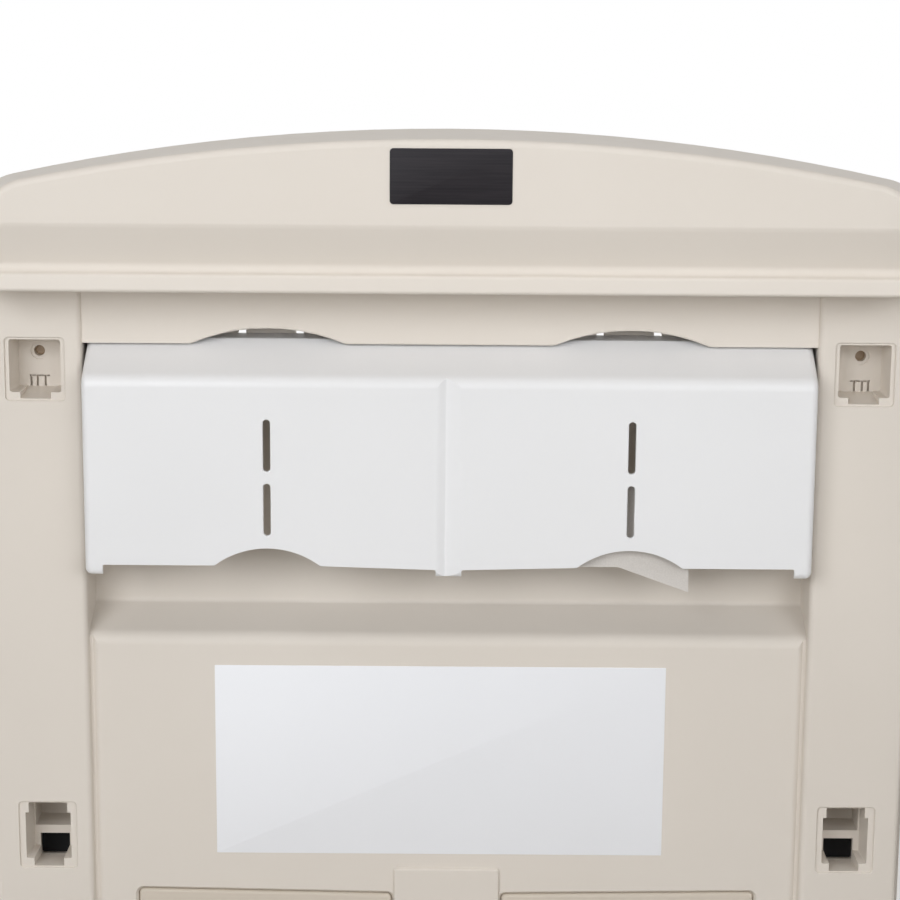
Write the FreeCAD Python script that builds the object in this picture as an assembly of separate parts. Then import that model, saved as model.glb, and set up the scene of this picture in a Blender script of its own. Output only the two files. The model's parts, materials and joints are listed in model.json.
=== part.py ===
"""Wall-hung fold-down baby changing station: drafted back panel with an arched hood,
twin liner dispenser, storage bins, and a bed that swings down on a steel hinge shaft.

Millimetres.  X runs across the unit, Y = 0 is the wall and the front faces -Y.
Heights in the driving dimensions are measured up from the unit's lower edge.
The origin of the finished part is the centre of the four wall fixing holes.
The bed is modelled folded down, as it is used.
"""
import FreeCAD
import Part
import math
import os
from FreeCAD import Vector

# Overall size of the closed unit
HALF_WIDTH = 286.0
TOP_Z = 1052.4
DEPTH = 100.0
FLANK = math.tan(math.radians(13.0))
WALL = 3.5
SKIM = 0.01

# Hood: arched header with a finger groove above its lip
LIP_Z = 966.0
ARCH_R = 1225.0
ARCH_FALL = -0.004
HOOD_CORNER_R = 30.0
HOOD_RIM_R = 4.0
GROOVE_TOP_Z = 1004.0
GROOVE_EDGE_R = 9.0
GROOVE_LOW_Z = 976.8
GROOVE_Y = -88.0
LIP_Y = -97.0
HOOD_RIB_X = (-190.0, -100.0, 0.0, 100.0, 190.0)
HOOD_RIB_TALL = 12.0
HOOD_SCREW_X = (-238.0, -145.0, 145.0, 238.0)
HOOD_SCREW_Y = -25.0
HOOD_LIP_R = 2.0

# Back panel
PANEL_TOP = LIP_Z
PANEL_Y = -52.0
FIELD_Y = -48.5
BOTTOM_RISE = 8.0
BOTTOM_CORNER_R = 26.0
PANEL_RIM_R = 3.0
FIELD_LOW_Z = 40.0
RECESS_Y = -18.0
RECESS_TOP = 948.0
RECESS_HALF = 215.0
RECESS_LIP_Z = 930.0
LIP_BACK_Y = -45.0
LIP_EDGE_R = 1.2
CREASE_Z = 766.5
CREASE_R = 3.0
LEDGE_Z = 752.8
LEDGE_R = 9.0
LEDGE_DROP = 25.0
SCALLOP_X = 106.0
SCALLOP_HALF = 45.0
SCALLOP_RISE = 9.0
LIGHT_SLOT_X = (89.5, 123.8)
LIGHT_SLOT_W = 4.4
LIGHT_SLOT_Z = (924.0, 934.0)
GROOVE_LOW_END_Z = 200.0
GROOVE_BACK_Y = -46.5
GROOVE_W = 2.2
STRIP_EDGE_R = 3.5
FIELD_EDGE_R = 4.0
FIELD_EDGE_RUN = 1.6
PILASTER_HALF = 31.7
PILASTER_LOW = 250.0
PILASTER_TOP = 606.5
PILASTER_Y = -51.0
PILASTER_R = 1.5
PILASTER_EDGE_R = 1.0
RIB = 2.5
RIB_TALL = 8.0
RIB_Z = (170.0, 290.0, 410.0, 700.0)
RIB_X = (-225.0, -110.0, 0.0, 110.0, 225.0)

# Pockets in the side strips and the wall fixings
FIX_X = 244.0
FIX_TOP_Z = 921.5
FIX_LOW_Z = 124.5
FIX_R = 3.25
FIX_SEAT_R = 5.0
FIX_SEAT_DEEP = 1.2
FIX_BOSS_R = 8.5
FIX_WELL_R = 12.0
POCKET_X = 242.3
POCKET_HALF = 17.4
POCKET_REBATE = 1.5
POCKET_CORNER_R = 2.5
REBATE_EDGE_R = 0.6
POCKET_WALL = 4.0
POCKET_FLOOR_Y = -26.0
POCKET_DRAFT = 1.2
POCKET_ROUND = 1.5
CHANNEL_HALF = 9.0
FLOOR_PAD = 3.0
UPPER_POCKET_Z = (895.9, 933.3)
UPPER_CAVITY_HALF = 15.2
UPPER_TOP_STEP = 1.2
UPPER_SHELF = 4.9
UPPER_CHANNEL = (0.9, 4.4)
TONGUE_HALF = 6.05
TONGUE_Z = (900.4, 906.2)
TONGUE_SLIT = 1.0
TONGUE_SIDE_SLIT = 1.3
TONGUE_LEGS = (5.0, 1.3, -3.4)
TONGUE_DEEP = 3.0
LOWER_POCKET_Z = (606.7, 648.8)
LOWER_MOUTH_HALF = (13.8, 11.8)
LOWER_TOP_STEP = 0.8
LOWER_NECK_Z = 641.6
LOWER_SHELF = 5.6
LOWER_CHANNEL = (0.9, -1.2)
LOWER_FLOOR_Y = -28.0
LOWER_CATCH_Y = -7.0
LOWER_BACK_Y = -6.0
LOWER_BAR_Z = (620.0, 625.2)
LOWER_FRONT_T = 4.0
LOWER_VOID = 8.0
CHAMBER_HALF = 12.0
CHAMBER_Z = (600.0, 622.0)
PAD_T = 3.0
PAD_GAP = 0.5
PAD_R = 1.0
WINDOW_HALF = 9.1

# Storage bins
BIN_X = (33.6, 188.0)
BIN_Z = (470.0, 590.6)
BIN_SLANT = 1.2
BIN_INSET = 0.6
BIN_FACE_R = 1.8
BIN_FLARE = 1.5
BIN_FLARE_DEEP = 2.0
BIN_TOP_RIM = 10.0
BIN_TOP_R = 3.0
BIN_FLANGE_T = 2.0
BIN_WALL = 2.5
BIN_BACK_Y = -6.0
BIN_FLANGE = 4.0
BIN_CORNER_R = 8.0
BIN_INNER_R = 6.0
BIN_MOUTH_R = 0.6
BIN_FRONT_TOP = 492.0
BIN_GAP = 0.7

# Liner dispenser
DISP_HALF = 213.0
DISP_Y = -70.0
DISP_BACK_Y = -18.4
DISP_FOLD_Z = 912.5
DISP_FOLD_R = 9.0
DISP_TOP_Z = 932.0
DISP_TOP_Y = -39.4
DISP_BOTTOM_Z = 802.0
DISP_FOOT_Z = 795.6
DISP_WALL = 2.5
DISP_EDGE_R = 4.0
NOTCH_HALF = 31.0
NOTCH_RISE = 10.5
SLOT_W = 4.2
SLOT_EDGE_R = 0.6
SLOT_Z = ((858.2, 888.9), (820.0, 851.0))
MID_GROOVE_HALF = 6.3
MID_GROOVE_DEEP = 2.4
MID_GROOVE_OFFSET = -2.2
MID_GROOVE_R = 6.0
KEEL_HALF = 7.5
FOOT_R = 1.2
EDGE_SAG = 1.8
EDGE_SAG_X = 75.0
DIVIDER_T = 2.5
DIVIDER_LIFT = 14.0
FOOT_W = 10.4
FOOT_DEEP = 12.0
LUG_T = 3.0
LUG_X = (199.0, 212.0)
LUG_Z = (820.0, 890.0)
LUG_TALL = 16.0

# Screws of the mouldings
SCREW_R = 2.0
SCREW_CLEAR_R = 2.2
SCREW_HEAD_T = 2.2

# Hinge line, the same for the panel's brackets and the bed
HINGE_Y = -77.0
HINGE_Z = 95.0
SHAFT_R = 7.0
SHAFT_HALF = 226.0
RUN_GAP = 0.05
BUSH_R = 9.0
BRACKET_X = (196.0, 204.0)
BRACKET_EYE_R = 21.0
FLANGE_T = 4.5
FLANGE_END_X = 260.0
FLANGE_DOWN = 38.0
FLANGE_UP = 58.0
STOP_RADIUS = 15.0
STOP_PIN_R = 2.4
STOP_SLOT_R = 2.5
STOP_ANGLE = math.radians(45.0)
BUSH_COLLAR = 1.5
ARM_HUB_R = 19.0
NOTCH_X = (193.0, 217.5)
NOTCH_R = 24.5
ARM_X = (206.0, 214.0)

# Rotary dampers on the shaft, inboard of each bracket
DAMPER_X = (168.0, 192.0)
DAMPER_R = 18.0
DAMPER_WALL = 3.0
ROTOR_R = 14.6
ROTOR_GAP = 0.4

# Bed, folded down: rim up, hinge end at the panel
BED_HALF_DEPTH = 23.0
BED_REACH = 868.0
BED_WALL = 3.0
BED_CORNER_R = 26.0
RIM_T = 3.5
BASIN_HALF = (240.0, 218.0)
BASIN_NEAR = (-165.0, -195.0)
BASIN_FAR = (-917.0, -900.0)
BASIN_DEEP = 28.0
BASIN_CORNER_R = (52.0, 40.0)
BASIN_FLOOR_R = 7.0
BED_EDGE_R = 5.0
RIM_EDGE_R = 2.5
TRAY_SCREWS = ((205.0, -930.0), (110.0, -112.0))
TRAY_BOSS_R = 5.0
TRAY_HEAD_R = 3.9
TRAY_HEAD_SEAT = 2.0
TRAY_SCREW_DEEP = 16.0
RAIL_X = (235.5, 255.5)
RAIL_Z = (85.0, 105.0)
RAIL_Y = (-905.0, -118.0)
RAIL_WALL = 2.0
CROSS_Y = (-155.0, -135.0)
BED_RIB_X = (-150.0, -60.0, 60.0, 150.0)
BED_RIB_Y = (-820.0, -680.0, -360.0, -220.0)
BED_RIB_REACH = (-210.0, 210.0, -890.0, -205.0)
GRIP_HALF = 65.0
GRIP_Y = (-936.0, -906.0)
GRIP_DEEP = 14.0
GRIP_R = 13.0
CATCH_X = 150.0
CATCH_R = 3.0
CATCH_SLEEVE_R = 5.5
CATCH_OUT = 4.5
CATCH_BORE = 22.0

# Safety belt across the bed
BELT_Y = -520.0
BELT_HALF = 19.0
BELT_T = 1.5
BELT_SLOT_X = 204.0
BELT_LIFT = 0.3
KEEPER_T = 3.0
KEEPER_REACH = 12.0
BUCKLE_HALF = (23.0, 25.0)
BUCKLE_BASE = 2.5
CHEEK_T = 3.0
CAM_X = 6.0
CAM_RISE = 9.2
CAM_PIN_R = 2.0
LEVER_REACH = 22.0
BUMPER_X = 256.0
BUMPER_Y = (-860.0, -560.0, -240.0)
BUMPER_H = 1.6

BED_TOP = HINGE_Z + BED_HALF_DEPTH
BED_LOW = HINGE_Z - BED_HALF_DEPTH
BED_END_Y = HINGE_Y - BED_REACH
BASIN_Z = BED_TOP - BASIN_DEEP
CAM_Z = BASIN_Z + CAM_RISE
ORIGIN_Z = (FIX_TOP_Z + FIX_LOW_Z) / 2.0
BEYOND = 300.0
SIDES = (("left", -1.0), ("right", 1.0))
SIGNS = (-1.0, 1.0)

AXES = {"x": Vector(1, 0, 0), "y": Vector(0, 1, 0), "z": Vector(0, 0, 1)}


def at(axis, level, u, v):
    """Point with in-plane coordinates u, v on the plane across an axis."""
    if axis == "x":
        return Vector(level, u, v)
    if axis == "y":
        return Vector(u, level, v)
    return Vector(u, v, level)


def line(start, end):
    return Part.LineSegment(start, end).toShape()


def rect(u0, u1, v0, v1, r=0.0):
    """Corners of a rectangle, all rounded alike."""
    return [(u0, v0, r), (u1, v0, r), (u1, v1, r), (u0, v1, r)]


def outline(axis, level, corners):
    """Closed wire through (u, v, radius) corners on the plane across an axis."""
    points = []
    for index, (u, v, radius) in enumerate(corners):
        here = Vector(u, v, 0)
        before = Vector(*corners[index - 1][:2], 0) - here
        after = Vector(*corners[(index + 1) % len(corners)][:2], 0) - here
        half = before.getAngle(after) / 2.0
        before.normalize()
        after.normalize()
        reach = radius / math.tan(half)
        inward = before + after
        middle = here
        if radius > 0:
            inward.normalize()
            middle = here + inward * (radius / math.sin(half) - radius)
        points.append((here + before * reach, middle, here + after * reach, radius))
    edges = []
    for index, (start, middle, end, radius) in enumerate(points):
        if radius > 0:
            arc = [at(axis, level, p.x, p.y) for p in (start, middle, end)]
            edges.append(Part.Arc(*arc).toShape())
        follow = points[(index + 1) % len(points)][0]
        if (follow - end).Length > 1e-6:
            edges.append(line(at(axis, level, end.x, end.y), at(axis, level, follow.x, follow.y)))
    return Part.Wire(edges)


def prism(axis, low, high, corners):
    """Solid with a rounded outline across an axis, from low to high along it."""
    return Part.Face(outline(axis, low, corners)).extrude(AXES[axis] * (high - low))


def taper(axis, low, low_corners, high, high_corners):
    """Drafted solid between two outlines."""
    wires = [outline(axis, low, low_corners), outline(axis, high, high_corners)]
    return Part.makeLoft(wires, True, True)


def box(x0, x1, y0, y1, z0, z1):
    return Part.makeBox(x1 - x0, y1 - y0, z1 - z0, Vector(x0, y0, z0))


def rod(axis, radius, start, length):
    return Part.makeCylinder(radius, length, Vector(*start), AXES[axis])


def tube(axis, outer, inner, start, length):
    return rod(axis, outer, start, length).cut(rod(axis, inner, start, length))


def round_edges(shape, radius, chosen):
    """Fillet the edges whose ends all pass the test."""
    edges = [e for e in shape.Edges if all(chosen(v.Point) for v in e.Vertexes)]
    return shape.makeFillet(radius, edges)


def span(side, low, high):
    """An X range mirrored to the left or right side, in rising order."""
    return tuple(sorted((side * low, side * high)))


def join(shapes):
    first, rest = shapes[0], list(shapes[1:])
    return first.fuse(rest).removeSplitter() if rest else first


def flank(y):
    """Half width of the drafted body at depth y."""
    return HALF_WIDTH + y * FLANK


def arch_wire(y, inset):
    """Closed outline of the hood at depth y: flat foot, drafted sides and a shallow arch."""
    half = flank(y) - inset
    crown = TOP_Z + ARCH_FALL * y - inset
    shoulder = crown - ARCH_R + math.sqrt(ARCH_R ** 2 - half ** 2)
    low = LIP_Z + inset
    foot = [Vector(-half, y, low), Vector(half, y, low)]
    ends = [Vector(half, y, shoulder), Vector(-half, y, shoulder)]
    arch = Part.Arc(ends[0], Vector(0, y, crown), ends[1]).toShape()
    return Part.Wire([line(*foot), line(foot[1], ends[0]), arch, line(ends[1], foot[0])])


def hood_form(back_y, front_y, inset, corner_r):
    """Arched block drafted towards the front, with its top corners rounded."""
    block = Part.makeLoft([arch_wire(back_y, inset), arch_wire(front_y, inset)], True, True)
    corners = []
    for edge in block.Edges:
        ends = [v.Point for v in edge.Vertexes]
        if abs(ends[0].y - ends[1].y) > 1 and min(p.z for p in ends) > LIP_Z + 30:
            corners.append(edge)
    return block.makeFillet(corner_r, corners)


def hood():
    """Arched header moulding: finger groove and lip in front, hollow and ribbed behind."""
    form = hood_form(0.0, -DEPTH, 0.0, HOOD_CORNER_R)
    rim = [e for e in form.Edges if all(abs(v.Y + DEPTH) < 1e-6 for v in e.Vertexes)]
    rim = [e for e in rim if max(v.Z for v in e.Vertexes) > LIP_Z + 1]
    form = form.makeFillet(HOOD_RIM_R, rim)
    front = -DEPTH - 1.0
    face = -DEPTH - SKIM
    start = GROOVE_TOP_Z + GROOVE_EDGE_R
    groove = [(front, start, 0), (face, start, 0), (face, GROOVE_TOP_Z, GROOVE_EDGE_R),
              (GROOVE_Y, GROOVE_LOW_Z, 4), (LIP_Y + 1.0, GROOVE_LOW_Z - 0.3, 2.5), (LIP_Y, LIP_Z, HOOD_LIP_R),
              (LIP_Y + 6.0, LIP_Z, 0), (LIP_Y + 6.0, LIP_Z - 1.0, 0), (front, LIP_Z - 1.0, 0)]
    form = form.cut(prism("x", -BEYOND, BEYOND, groove))
    hollow = hood_form(1.0, -DEPTH + WALL, WALL, HOOD_CORNER_R - WALL)
    keep = [(front, GROOVE_TOP_Z + 2, 0), (-DEPTH + WALL, GROOVE_TOP_Z - 1, 2),
            (GROOVE_Y + WALL, GROOVE_LOW_Z - 4, 0), (GROOVE_Y + WALL, LIP_Z, 0), (front, LIP_Z, 0)]
    hollow = hollow.cut(prism("x", -BEYOND, BEYOND, keep))
    rib_back = -DEPTH + WALL + HOOD_RIB_TALL
    ribs = [box(x - RIB / 2, x + RIB / 2, -DEPTH, rib_back, LIP_Z, TOP_Z).common(hollow) for x in HOOD_RIB_X]
    shell = join([form.cut(hollow)] + ribs)
    holes = [rod("z", SCREW_R, (x, HOOD_SCREW_Y, LIP_Z - 1), 2 * WALL) for x in HOOD_SCREW_X]
    holes += [rod("z", CATCH_R + 1.0, (s * CATCH_X, HINGE_Y, LIP_Z - 1), 2 * WALL) for s in SIGNS]
    return shell.cut(holes)


def panel_form(inset, back_y, front_y):
    """Drafted slab of the back panel, with round lower corners."""
    sections = []
    for y, rise in ((back_y, 0.0), (front_y, BOTTOM_RISE)):
        half = flank(y) - inset
        low = rise + inset
        r = BOTTOM_CORNER_R - inset
        high = PANEL_TOP - inset
        sections.append([(-half, low, r), (half, low, r), (half, high, 0), (-half, high, 0)])
    return taper("y", back_y, sections[0], front_y, sections[1])


def recess_profile(grow):
    """YZ outline of the dispenser recess and the sloping ledge under it."""
    front = PANEL_Y - 1.0
    ledge_r = LEDGE_R if grow == 0 else 0
    return [(front, RECESS_LIP_Z + grow, 0), (LIP_BACK_Y - grow, RECESS_LIP_Z + grow, 0),
            (LIP_BACK_Y - grow, RECESS_TOP + grow, 0), (RECESS_Y + grow, RECESS_TOP + grow, 0),
            (RECESS_Y + grow, CREASE_Z - grow, CREASE_R), (FIELD_Y, LEDGE_Z - grow, ledge_r),
            (FIELD_Y, LEDGE_Z - LEDGE_DROP - grow, 0), (front, LEDGE_Z - LEDGE_DROP - grow, 0)]


def scallops():
    """Finger arcs in the lip above the dispenser."""
    radius = (SCALLOP_HALF ** 2 + SCALLOP_RISE ** 2) / (2 * SCALLOP_RISE)
    centre_z = RECESS_LIP_Z + SCALLOP_RISE - radius
    front = PANEL_Y - 2
    above = box(-BEYOND, BEYOND, front, LIP_BACK_Y + 1, RECESS_LIP_Z - 1, RECESS_TOP)
    return [rod("y", radius, (s * SCALLOP_X, front, centre_z), DEPTH).common(above) for s in SIGNS]


def pocket_rebate(x, low, high):
    """Shallow step round a pocket's mouth."""
    corners = rect(x - POCKET_HALF, x + POCKET_HALF, low, high, POCKET_CORNER_R)
    return prism("y", PANEL_Y - 1, PANEL_Y + POCKET_REBATE, corners)


def upper_pocket(side):
    """Rebated, drafted pocket: screw seat above a snap tongue, and a channel in its lower shelf."""
    x = side * POCKET_X
    low, high = UPPER_POCKET_Z
    half = UPPER_CAVITY_HALF
    shelf, top = low + UPPER_SHELF, high - UPPER_TOP_STEP
    mouth = rect(x - half, x + half, shelf, top, POCKET_ROUND)
    floor_half = half - POCKET_DRAFT
    floor = rect(x - floor_half, x + floor_half, shelf, top - POCKET_DRAFT, POCKET_ROUND)
    cavity = taper("y", PANEL_Y, mouth, POCKET_FLOOR_Y, floor)
    front, back = UPPER_CHANNEL
    run = [(PANEL_Y, low + front, 0), (POCKET_FLOOR_Y, low + back, 0), (POCKET_FLOOR_Y, shelf + 2, 0),
           (PANEL_Y, shelf + 2, 0)]
    channel = prism("x", x - CHANNEL_HALF, x + CHANNEL_HALF, run)
    seat = screw_seat(side * FIX_X, FIX_TOP_Z)
    return [pocket_rebate(x, low, high), cavity, channel, seat] + tongue_slits(side)


def tongue_slits(side):
    """Blind slits that free two snap tongues in the pocket's floor."""
    x = side * FIX_X
    deep = (POCKET_FLOOR_Y - 1, POCKET_FLOOR_Y + TONGUE_DEEP)
    foot, head = TONGUE_Z
    slits = [box(x - TONGUE_HALF, x + TONGUE_HALF, *deep, head, head + TONGUE_SLIT)]
    half = TONGUE_SIDE_SLIT / 2
    for out in TONGUE_LEGS:
        middle = x + side * out
        slits.append(box(middle - half, middle + half, *deep, foot, head + TONGUE_SLIT / 2))
    return slits


def lower_pocket(side):
    """Rebated pocket with a key-shaped mouth, a void above a bar, and a window into a chamber below it."""
    x = side * POCKET_X
    low, high = LOWER_POCKET_Z
    shelf, top = low + LOWER_SHELF, high - LOWER_TOP_STEP
    outlines = []
    for draw in (0.0, POCKET_DRAFT):
        wide, narrow = (half - draw for half in LOWER_MOUTH_HALF)
        outlines.append([(x - wide, shelf, 1), (x + wide, shelf, 1), (x + wide, LOWER_NECK_Z, 0),
                         (x + narrow, LOWER_NECK_Z, 0), (x + narrow, top, 1), (x - narrow, top, 1),
                         (x - narrow, LOWER_NECK_Z, 0), (x - wide, LOWER_NECK_Z, 0)])
    cavity = taper("y", PANEL_Y, outlines[0], LOWER_FLOOR_Y, outlines[1])
    half = LOWER_MOUTH_HALF[1]
    under_bar, over_bar = LOWER_BAR_Z
    void = box(x - half, x + half, PANEL_Y + LOWER_FRONT_T, LOWER_CATCH_Y, over_bar, high + LOWER_VOID)
    front, back = LOWER_CHANNEL
    run = [(PANEL_Y, low + front, 0), (LOWER_FLOOR_Y, low + back, 0), (LOWER_FLOOR_Y, shelf + 2, 0),
           (PANEL_Y, shelf + 2, 0)]
    channel = prism("x", x - CHANNEL_HALF, x + CHANNEL_HALF, run)
    window = box(x - WINDOW_HALF, x + WINDOW_HALF, LOWER_FLOOR_Y - 1, LOWER_BACK_Y, low + back, under_bar)
    behind = LOWER_FLOOR_Y + WALL
    chamber = box(x - CHAMBER_HALF, x + CHAMBER_HALF, behind, LOWER_BACK_Y, *CHAMBER_Z)
    return [pocket_rebate(x, low, high), cavity, void, channel, window, chamber]


def pocket_pads():
    """Black foam pads on the back wall of the lower pockets' chambers."""
    half = CHAMBER_HALF - PAD_GAP
    low, high = CHAMBER_Z[0] + PAD_GAP, CHAMBER_Z[1] - PAD_GAP
    pads = []
    for side in SIGNS:
        face = rect(side * POCKET_X - half, side * POCKET_X + half, low, high, PAD_R)
        pads.append(prism("y", LOWER_BACK_Y - PAD_T, LOWER_BACK_Y, face))
    return Part.makeCompound(pads)


def screw_seat(x, z):
    """Shallow counterbore round a wall screw."""
    return rod("y", FIX_SEAT_R, (x, POCKET_FLOOR_Y - 0.5, z), FIX_SEAT_DEEP + 0.5)


def low_fixing(side):
    """Round screw well near the hinge."""
    x = side * FIX_X
    well = rod("y", FIX_WELL_R, (x, PANEL_Y - 1, FIX_LOW_Z), POCKET_FLOOR_Y - PANEL_Y + 1)
    return [well, screw_seat(x, FIX_LOW_Z)]


def bracket_slot(side):
    x0, x1 = span(side, BRACKET_X[0] - 2, BRACKET_X[1] + 2)
    return box(x0, x1, PANEL_Y - 2, 1, HINGE_Z - BRACKET_EYE_R - 2, HINGE_Z + BRACKET_EYE_R + 2)


def flange_pocket(side):
    """Room on the wall side for the hinge bracket's flange."""
    x0, x1 = span(side, BRACKET_X[0] - 2, FLANGE_END_X + 4)
    return box(x0, x1, -FLANGE_T, 1, HINGE_Z - FLANGE_DOWN - 4, HINGE_Z + FLANGE_UP + 4)


def field_cut():
    """Shallow step that sets the middle of the panel behind its side strips."""
    return box(-RECESS_HALF, RECESS_HALF, PANEL_Y - 2, FIELD_Y, FIELD_LOW_Z, PANEL_TOP + 1)


def pilaster():
    """Raised middle strip between the bins."""
    face = rect(-PILASTER_HALF, PILASTER_HALF, PILASTER_LOW, PILASTER_TOP, PILASTER_R)
    foot = rect(-PILASTER_HALF - 1, PILASTER_HALF + 1, PILASTER_LOW - 1, PILASTER_TOP + 1, PILASTER_R + 1)
    strip = taper("y", PILASTER_Y, face, FIELD_Y + 1, foot)
    return round_edges(strip, PILASTER_EDGE_R, lambda p: abs(p.y - PILASTER_Y) < 1e-6)


def strip_edge(side):
    """Soft inner edge of a side strip."""
    inner = RECESS_HALF
    far = inner + 2 * STRIP_EDGE_R
    front = PANEL_Y - SKIM
    plan = [(far, PANEL_Y - 2, 0), (far, front, 0), (inner, front, STRIP_EDGE_R), (inner, FIELD_Y, 0),
            (inner - 1, FIELD_Y, 0), (inner - 1, PANEL_Y - 2, 0)]
    return prism("z", FIELD_LOW_Z, PANEL_TOP + 1, [(side * x, y, r) for x, y, r in plan])


def side_groove(side):
    """Narrow groove between a side strip and the field, with the field's edge rounded into it."""
    outer = RECESS_HALF
    inner = RECESS_HALF - GROOVE_W
    near = inner - 2 * FIELD_EDGE_R
    face = FIELD_Y - SKIM
    plan = [(outer, FIELD_Y - 1, 0), (outer, GROOVE_BACK_Y, 0.8), (inner, GROOVE_BACK_Y, 0.4),
            (inner - FIELD_EDGE_RUN, face, FIELD_EDGE_R), (near, face, 0), (near, FIELD_Y - 1, 0)]
    return prism("z", GROOVE_LOW_END_Z, CREASE_Z, [(side * x, y, r) for x, y, r in plan])


def pocket_walls(side):
    """Material left in the hollow round the pockets, the screw wells and the groove."""
    x = side * POCKET_X
    fix = side * FIX_X
    reach = POCKET_HALF + POCKET_WALL - 0.6
    up0, up1 = UPPER_POCKET_Z
    low0 = CHAMBER_Z[0] - WALL
    low1 = LOWER_POCKET_Z[1] + LOWER_VOID + WALL
    floor = POCKET_FLOOR_Y + WALL
    g0, g1 = span(side, RECESS_HALF - GROOVE_W - WALL, RECESS_HALF + WALL)
    walls = [box(x - reach, x + reach, PANEL_Y, floor + FLOOR_PAD, up0 - POCKET_WALL, up1 + POCKET_WALL),
             box(x - reach, x + reach, PANEL_Y, LOWER_BACK_Y + WALL, low0, low1),
             rod("y", FIX_WELL_R + 3, (fix, PANEL_Y, FIX_LOW_Z), floor - PANEL_Y),
             box(g0, g1, PANEL_Y, GROOVE_BACK_Y + WALL, GROOVE_LOW_END_Z - WALL, CREASE_Z)]
    walls += [rod("y", FIX_BOSS_R, (fix, POCKET_FLOOR_Y, z), -POCKET_FLOOR_Y) for z in (FIX_TOP_Z, FIX_LOW_Z)]
    return walls


def stiffening_ribs(hollow):
    """Low ribs on the back of the panel's face, both ways."""
    back = FIELD_Y + WALL + RIB_TALL
    frames = [box(-BEYOND, BEYOND, PANEL_Y, back, z, z + RIB) for z in RIB_Z]
    frames += [box(x - RIB / 2, x + RIB / 2, PANEL_Y, back, BOTTOM_RISE, PANEL_TOP) for x in RIB_X]
    return [frame.common(hollow) for frame in frames]


def panel_openings(side):
    """Everything that is cut through or into the finished panel on one side."""
    tools = upper_pocket(side) + lower_pocket(side) + low_fixing(side)
    tools += [bracket_slot(side), flange_pocket(side)]
    tools += [rod("y", FIX_R, (side * FIX_X, PANEL_Y, z), -PANEL_Y + 1) for z in (FIX_TOP_Z, FIX_LOW_Z)]
    tools.append(prism("y", PANEL_Y - 2, 1, bin_outline(side, BIN_GAP)))
    tools.append(prism("y", FIELD_Y + WALL, 1, bin_outline(side, BIN_FLANGE + BIN_GAP)))
    flared = bin_outline(side, BIN_GAP + BIN_FLARE)
    tools.append(taper("y", FIELD_Y - SKIM, flared, FIELD_Y + BIN_FLARE_DEEP, bin_outline(side, BIN_GAP)))
    half = LIGHT_SLOT_W / 2
    for x in LIGHT_SLOT_X:
        tools.append(box(side * x - half, side * x + half, RECESS_Y - 1, RECESS_Y + WALL + 1, *LIGHT_SLOT_Z))
    return tools


def on_recess_lip(p):
    """Is a point on the scalloped front edge of the recess's lip?"""
    return abs(p.y - FIELD_Y) < 1e-4 and abs(p.x) < RECESS_HALF and abs(p.z - RECESS_LIP_Z) < SCALLOP_RISE + 1


def on_rebate(p):
    """Is a point on the front edge round one of the pockets?"""
    level = any(low - 1 < p.z < high + 1 for low, high in (UPPER_POCKET_Z, LOWER_POCKET_Z))
    return level and abs(p.y - PANEL_Y) < 1e-4 and abs(abs(p.x) - POCKET_X) < POCKET_HALF + 1


def back_panel():
    """Drafted, hollow moulding with the dispenser recess, pockets, grooves and fixings."""
    form = panel_form(0.0, 0.0, PANEL_Y)
    form = round_edges(form, PANEL_RIM_R, lambda p: abs(p.y - PANEL_Y) < 1e-6 and abs(p.x) > RECESS_HALF)
    form = form.cut(field_cut()).fuse(pilaster())
    recess = prism("x", -RECESS_HALF, RECESS_HALF, recess_profile(0.0))
    form = form.cut([recess] + scallops())
    form = round_edges(form, LIP_EDGE_R, on_recess_lip)
    form = form.cut([cut(s) for s in SIGNS for cut in (strip_edge, side_groove)])
    backing = prism("x", -RECESS_HALF - WALL, RECESS_HALF + WALL, recess_profile(WALL))
    solids = [backing] + [wall for s in SIGNS for wall in pocket_walls(s)]
    hollow = panel_form(WALL, 1.0, FIELD_Y + WALL).cut(solids)
    panel = join([form.cut(hollow)] + stiffening_ribs(hollow))
    tools = [tool for s in SIGNS for tool in panel_openings(s)]
    screw_low = PANEL_TOP - 2 * WALL
    tools += [rod("z", SCREW_CLEAR_R, (x, HOOD_SCREW_Y, screw_low), 3 * WALL) for x in HOOD_SCREW_X]
    return round_edges(panel.cut(tools), REBATE_EDGE_R, on_rebate)


def bin_outline(side, grow):
    """XZ corners of a bin, set out all round; its upper edge rises a little outwards."""
    x0, x1 = span(side, BIN_X[0] - grow, BIN_X[1] + grow)
    low, high = BIN_Z[0] - grow, BIN_Z[1] + grow
    foot_r, top_r = BIN_CORNER_R + grow, max(BIN_TOP_R + grow, 0.5)
    rise = side * BIN_SLANT
    return [(x0, low, foot_r), (x1, low, foot_r), (x1, high + rise, top_r), (x0, high - rise, top_r)]


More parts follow.
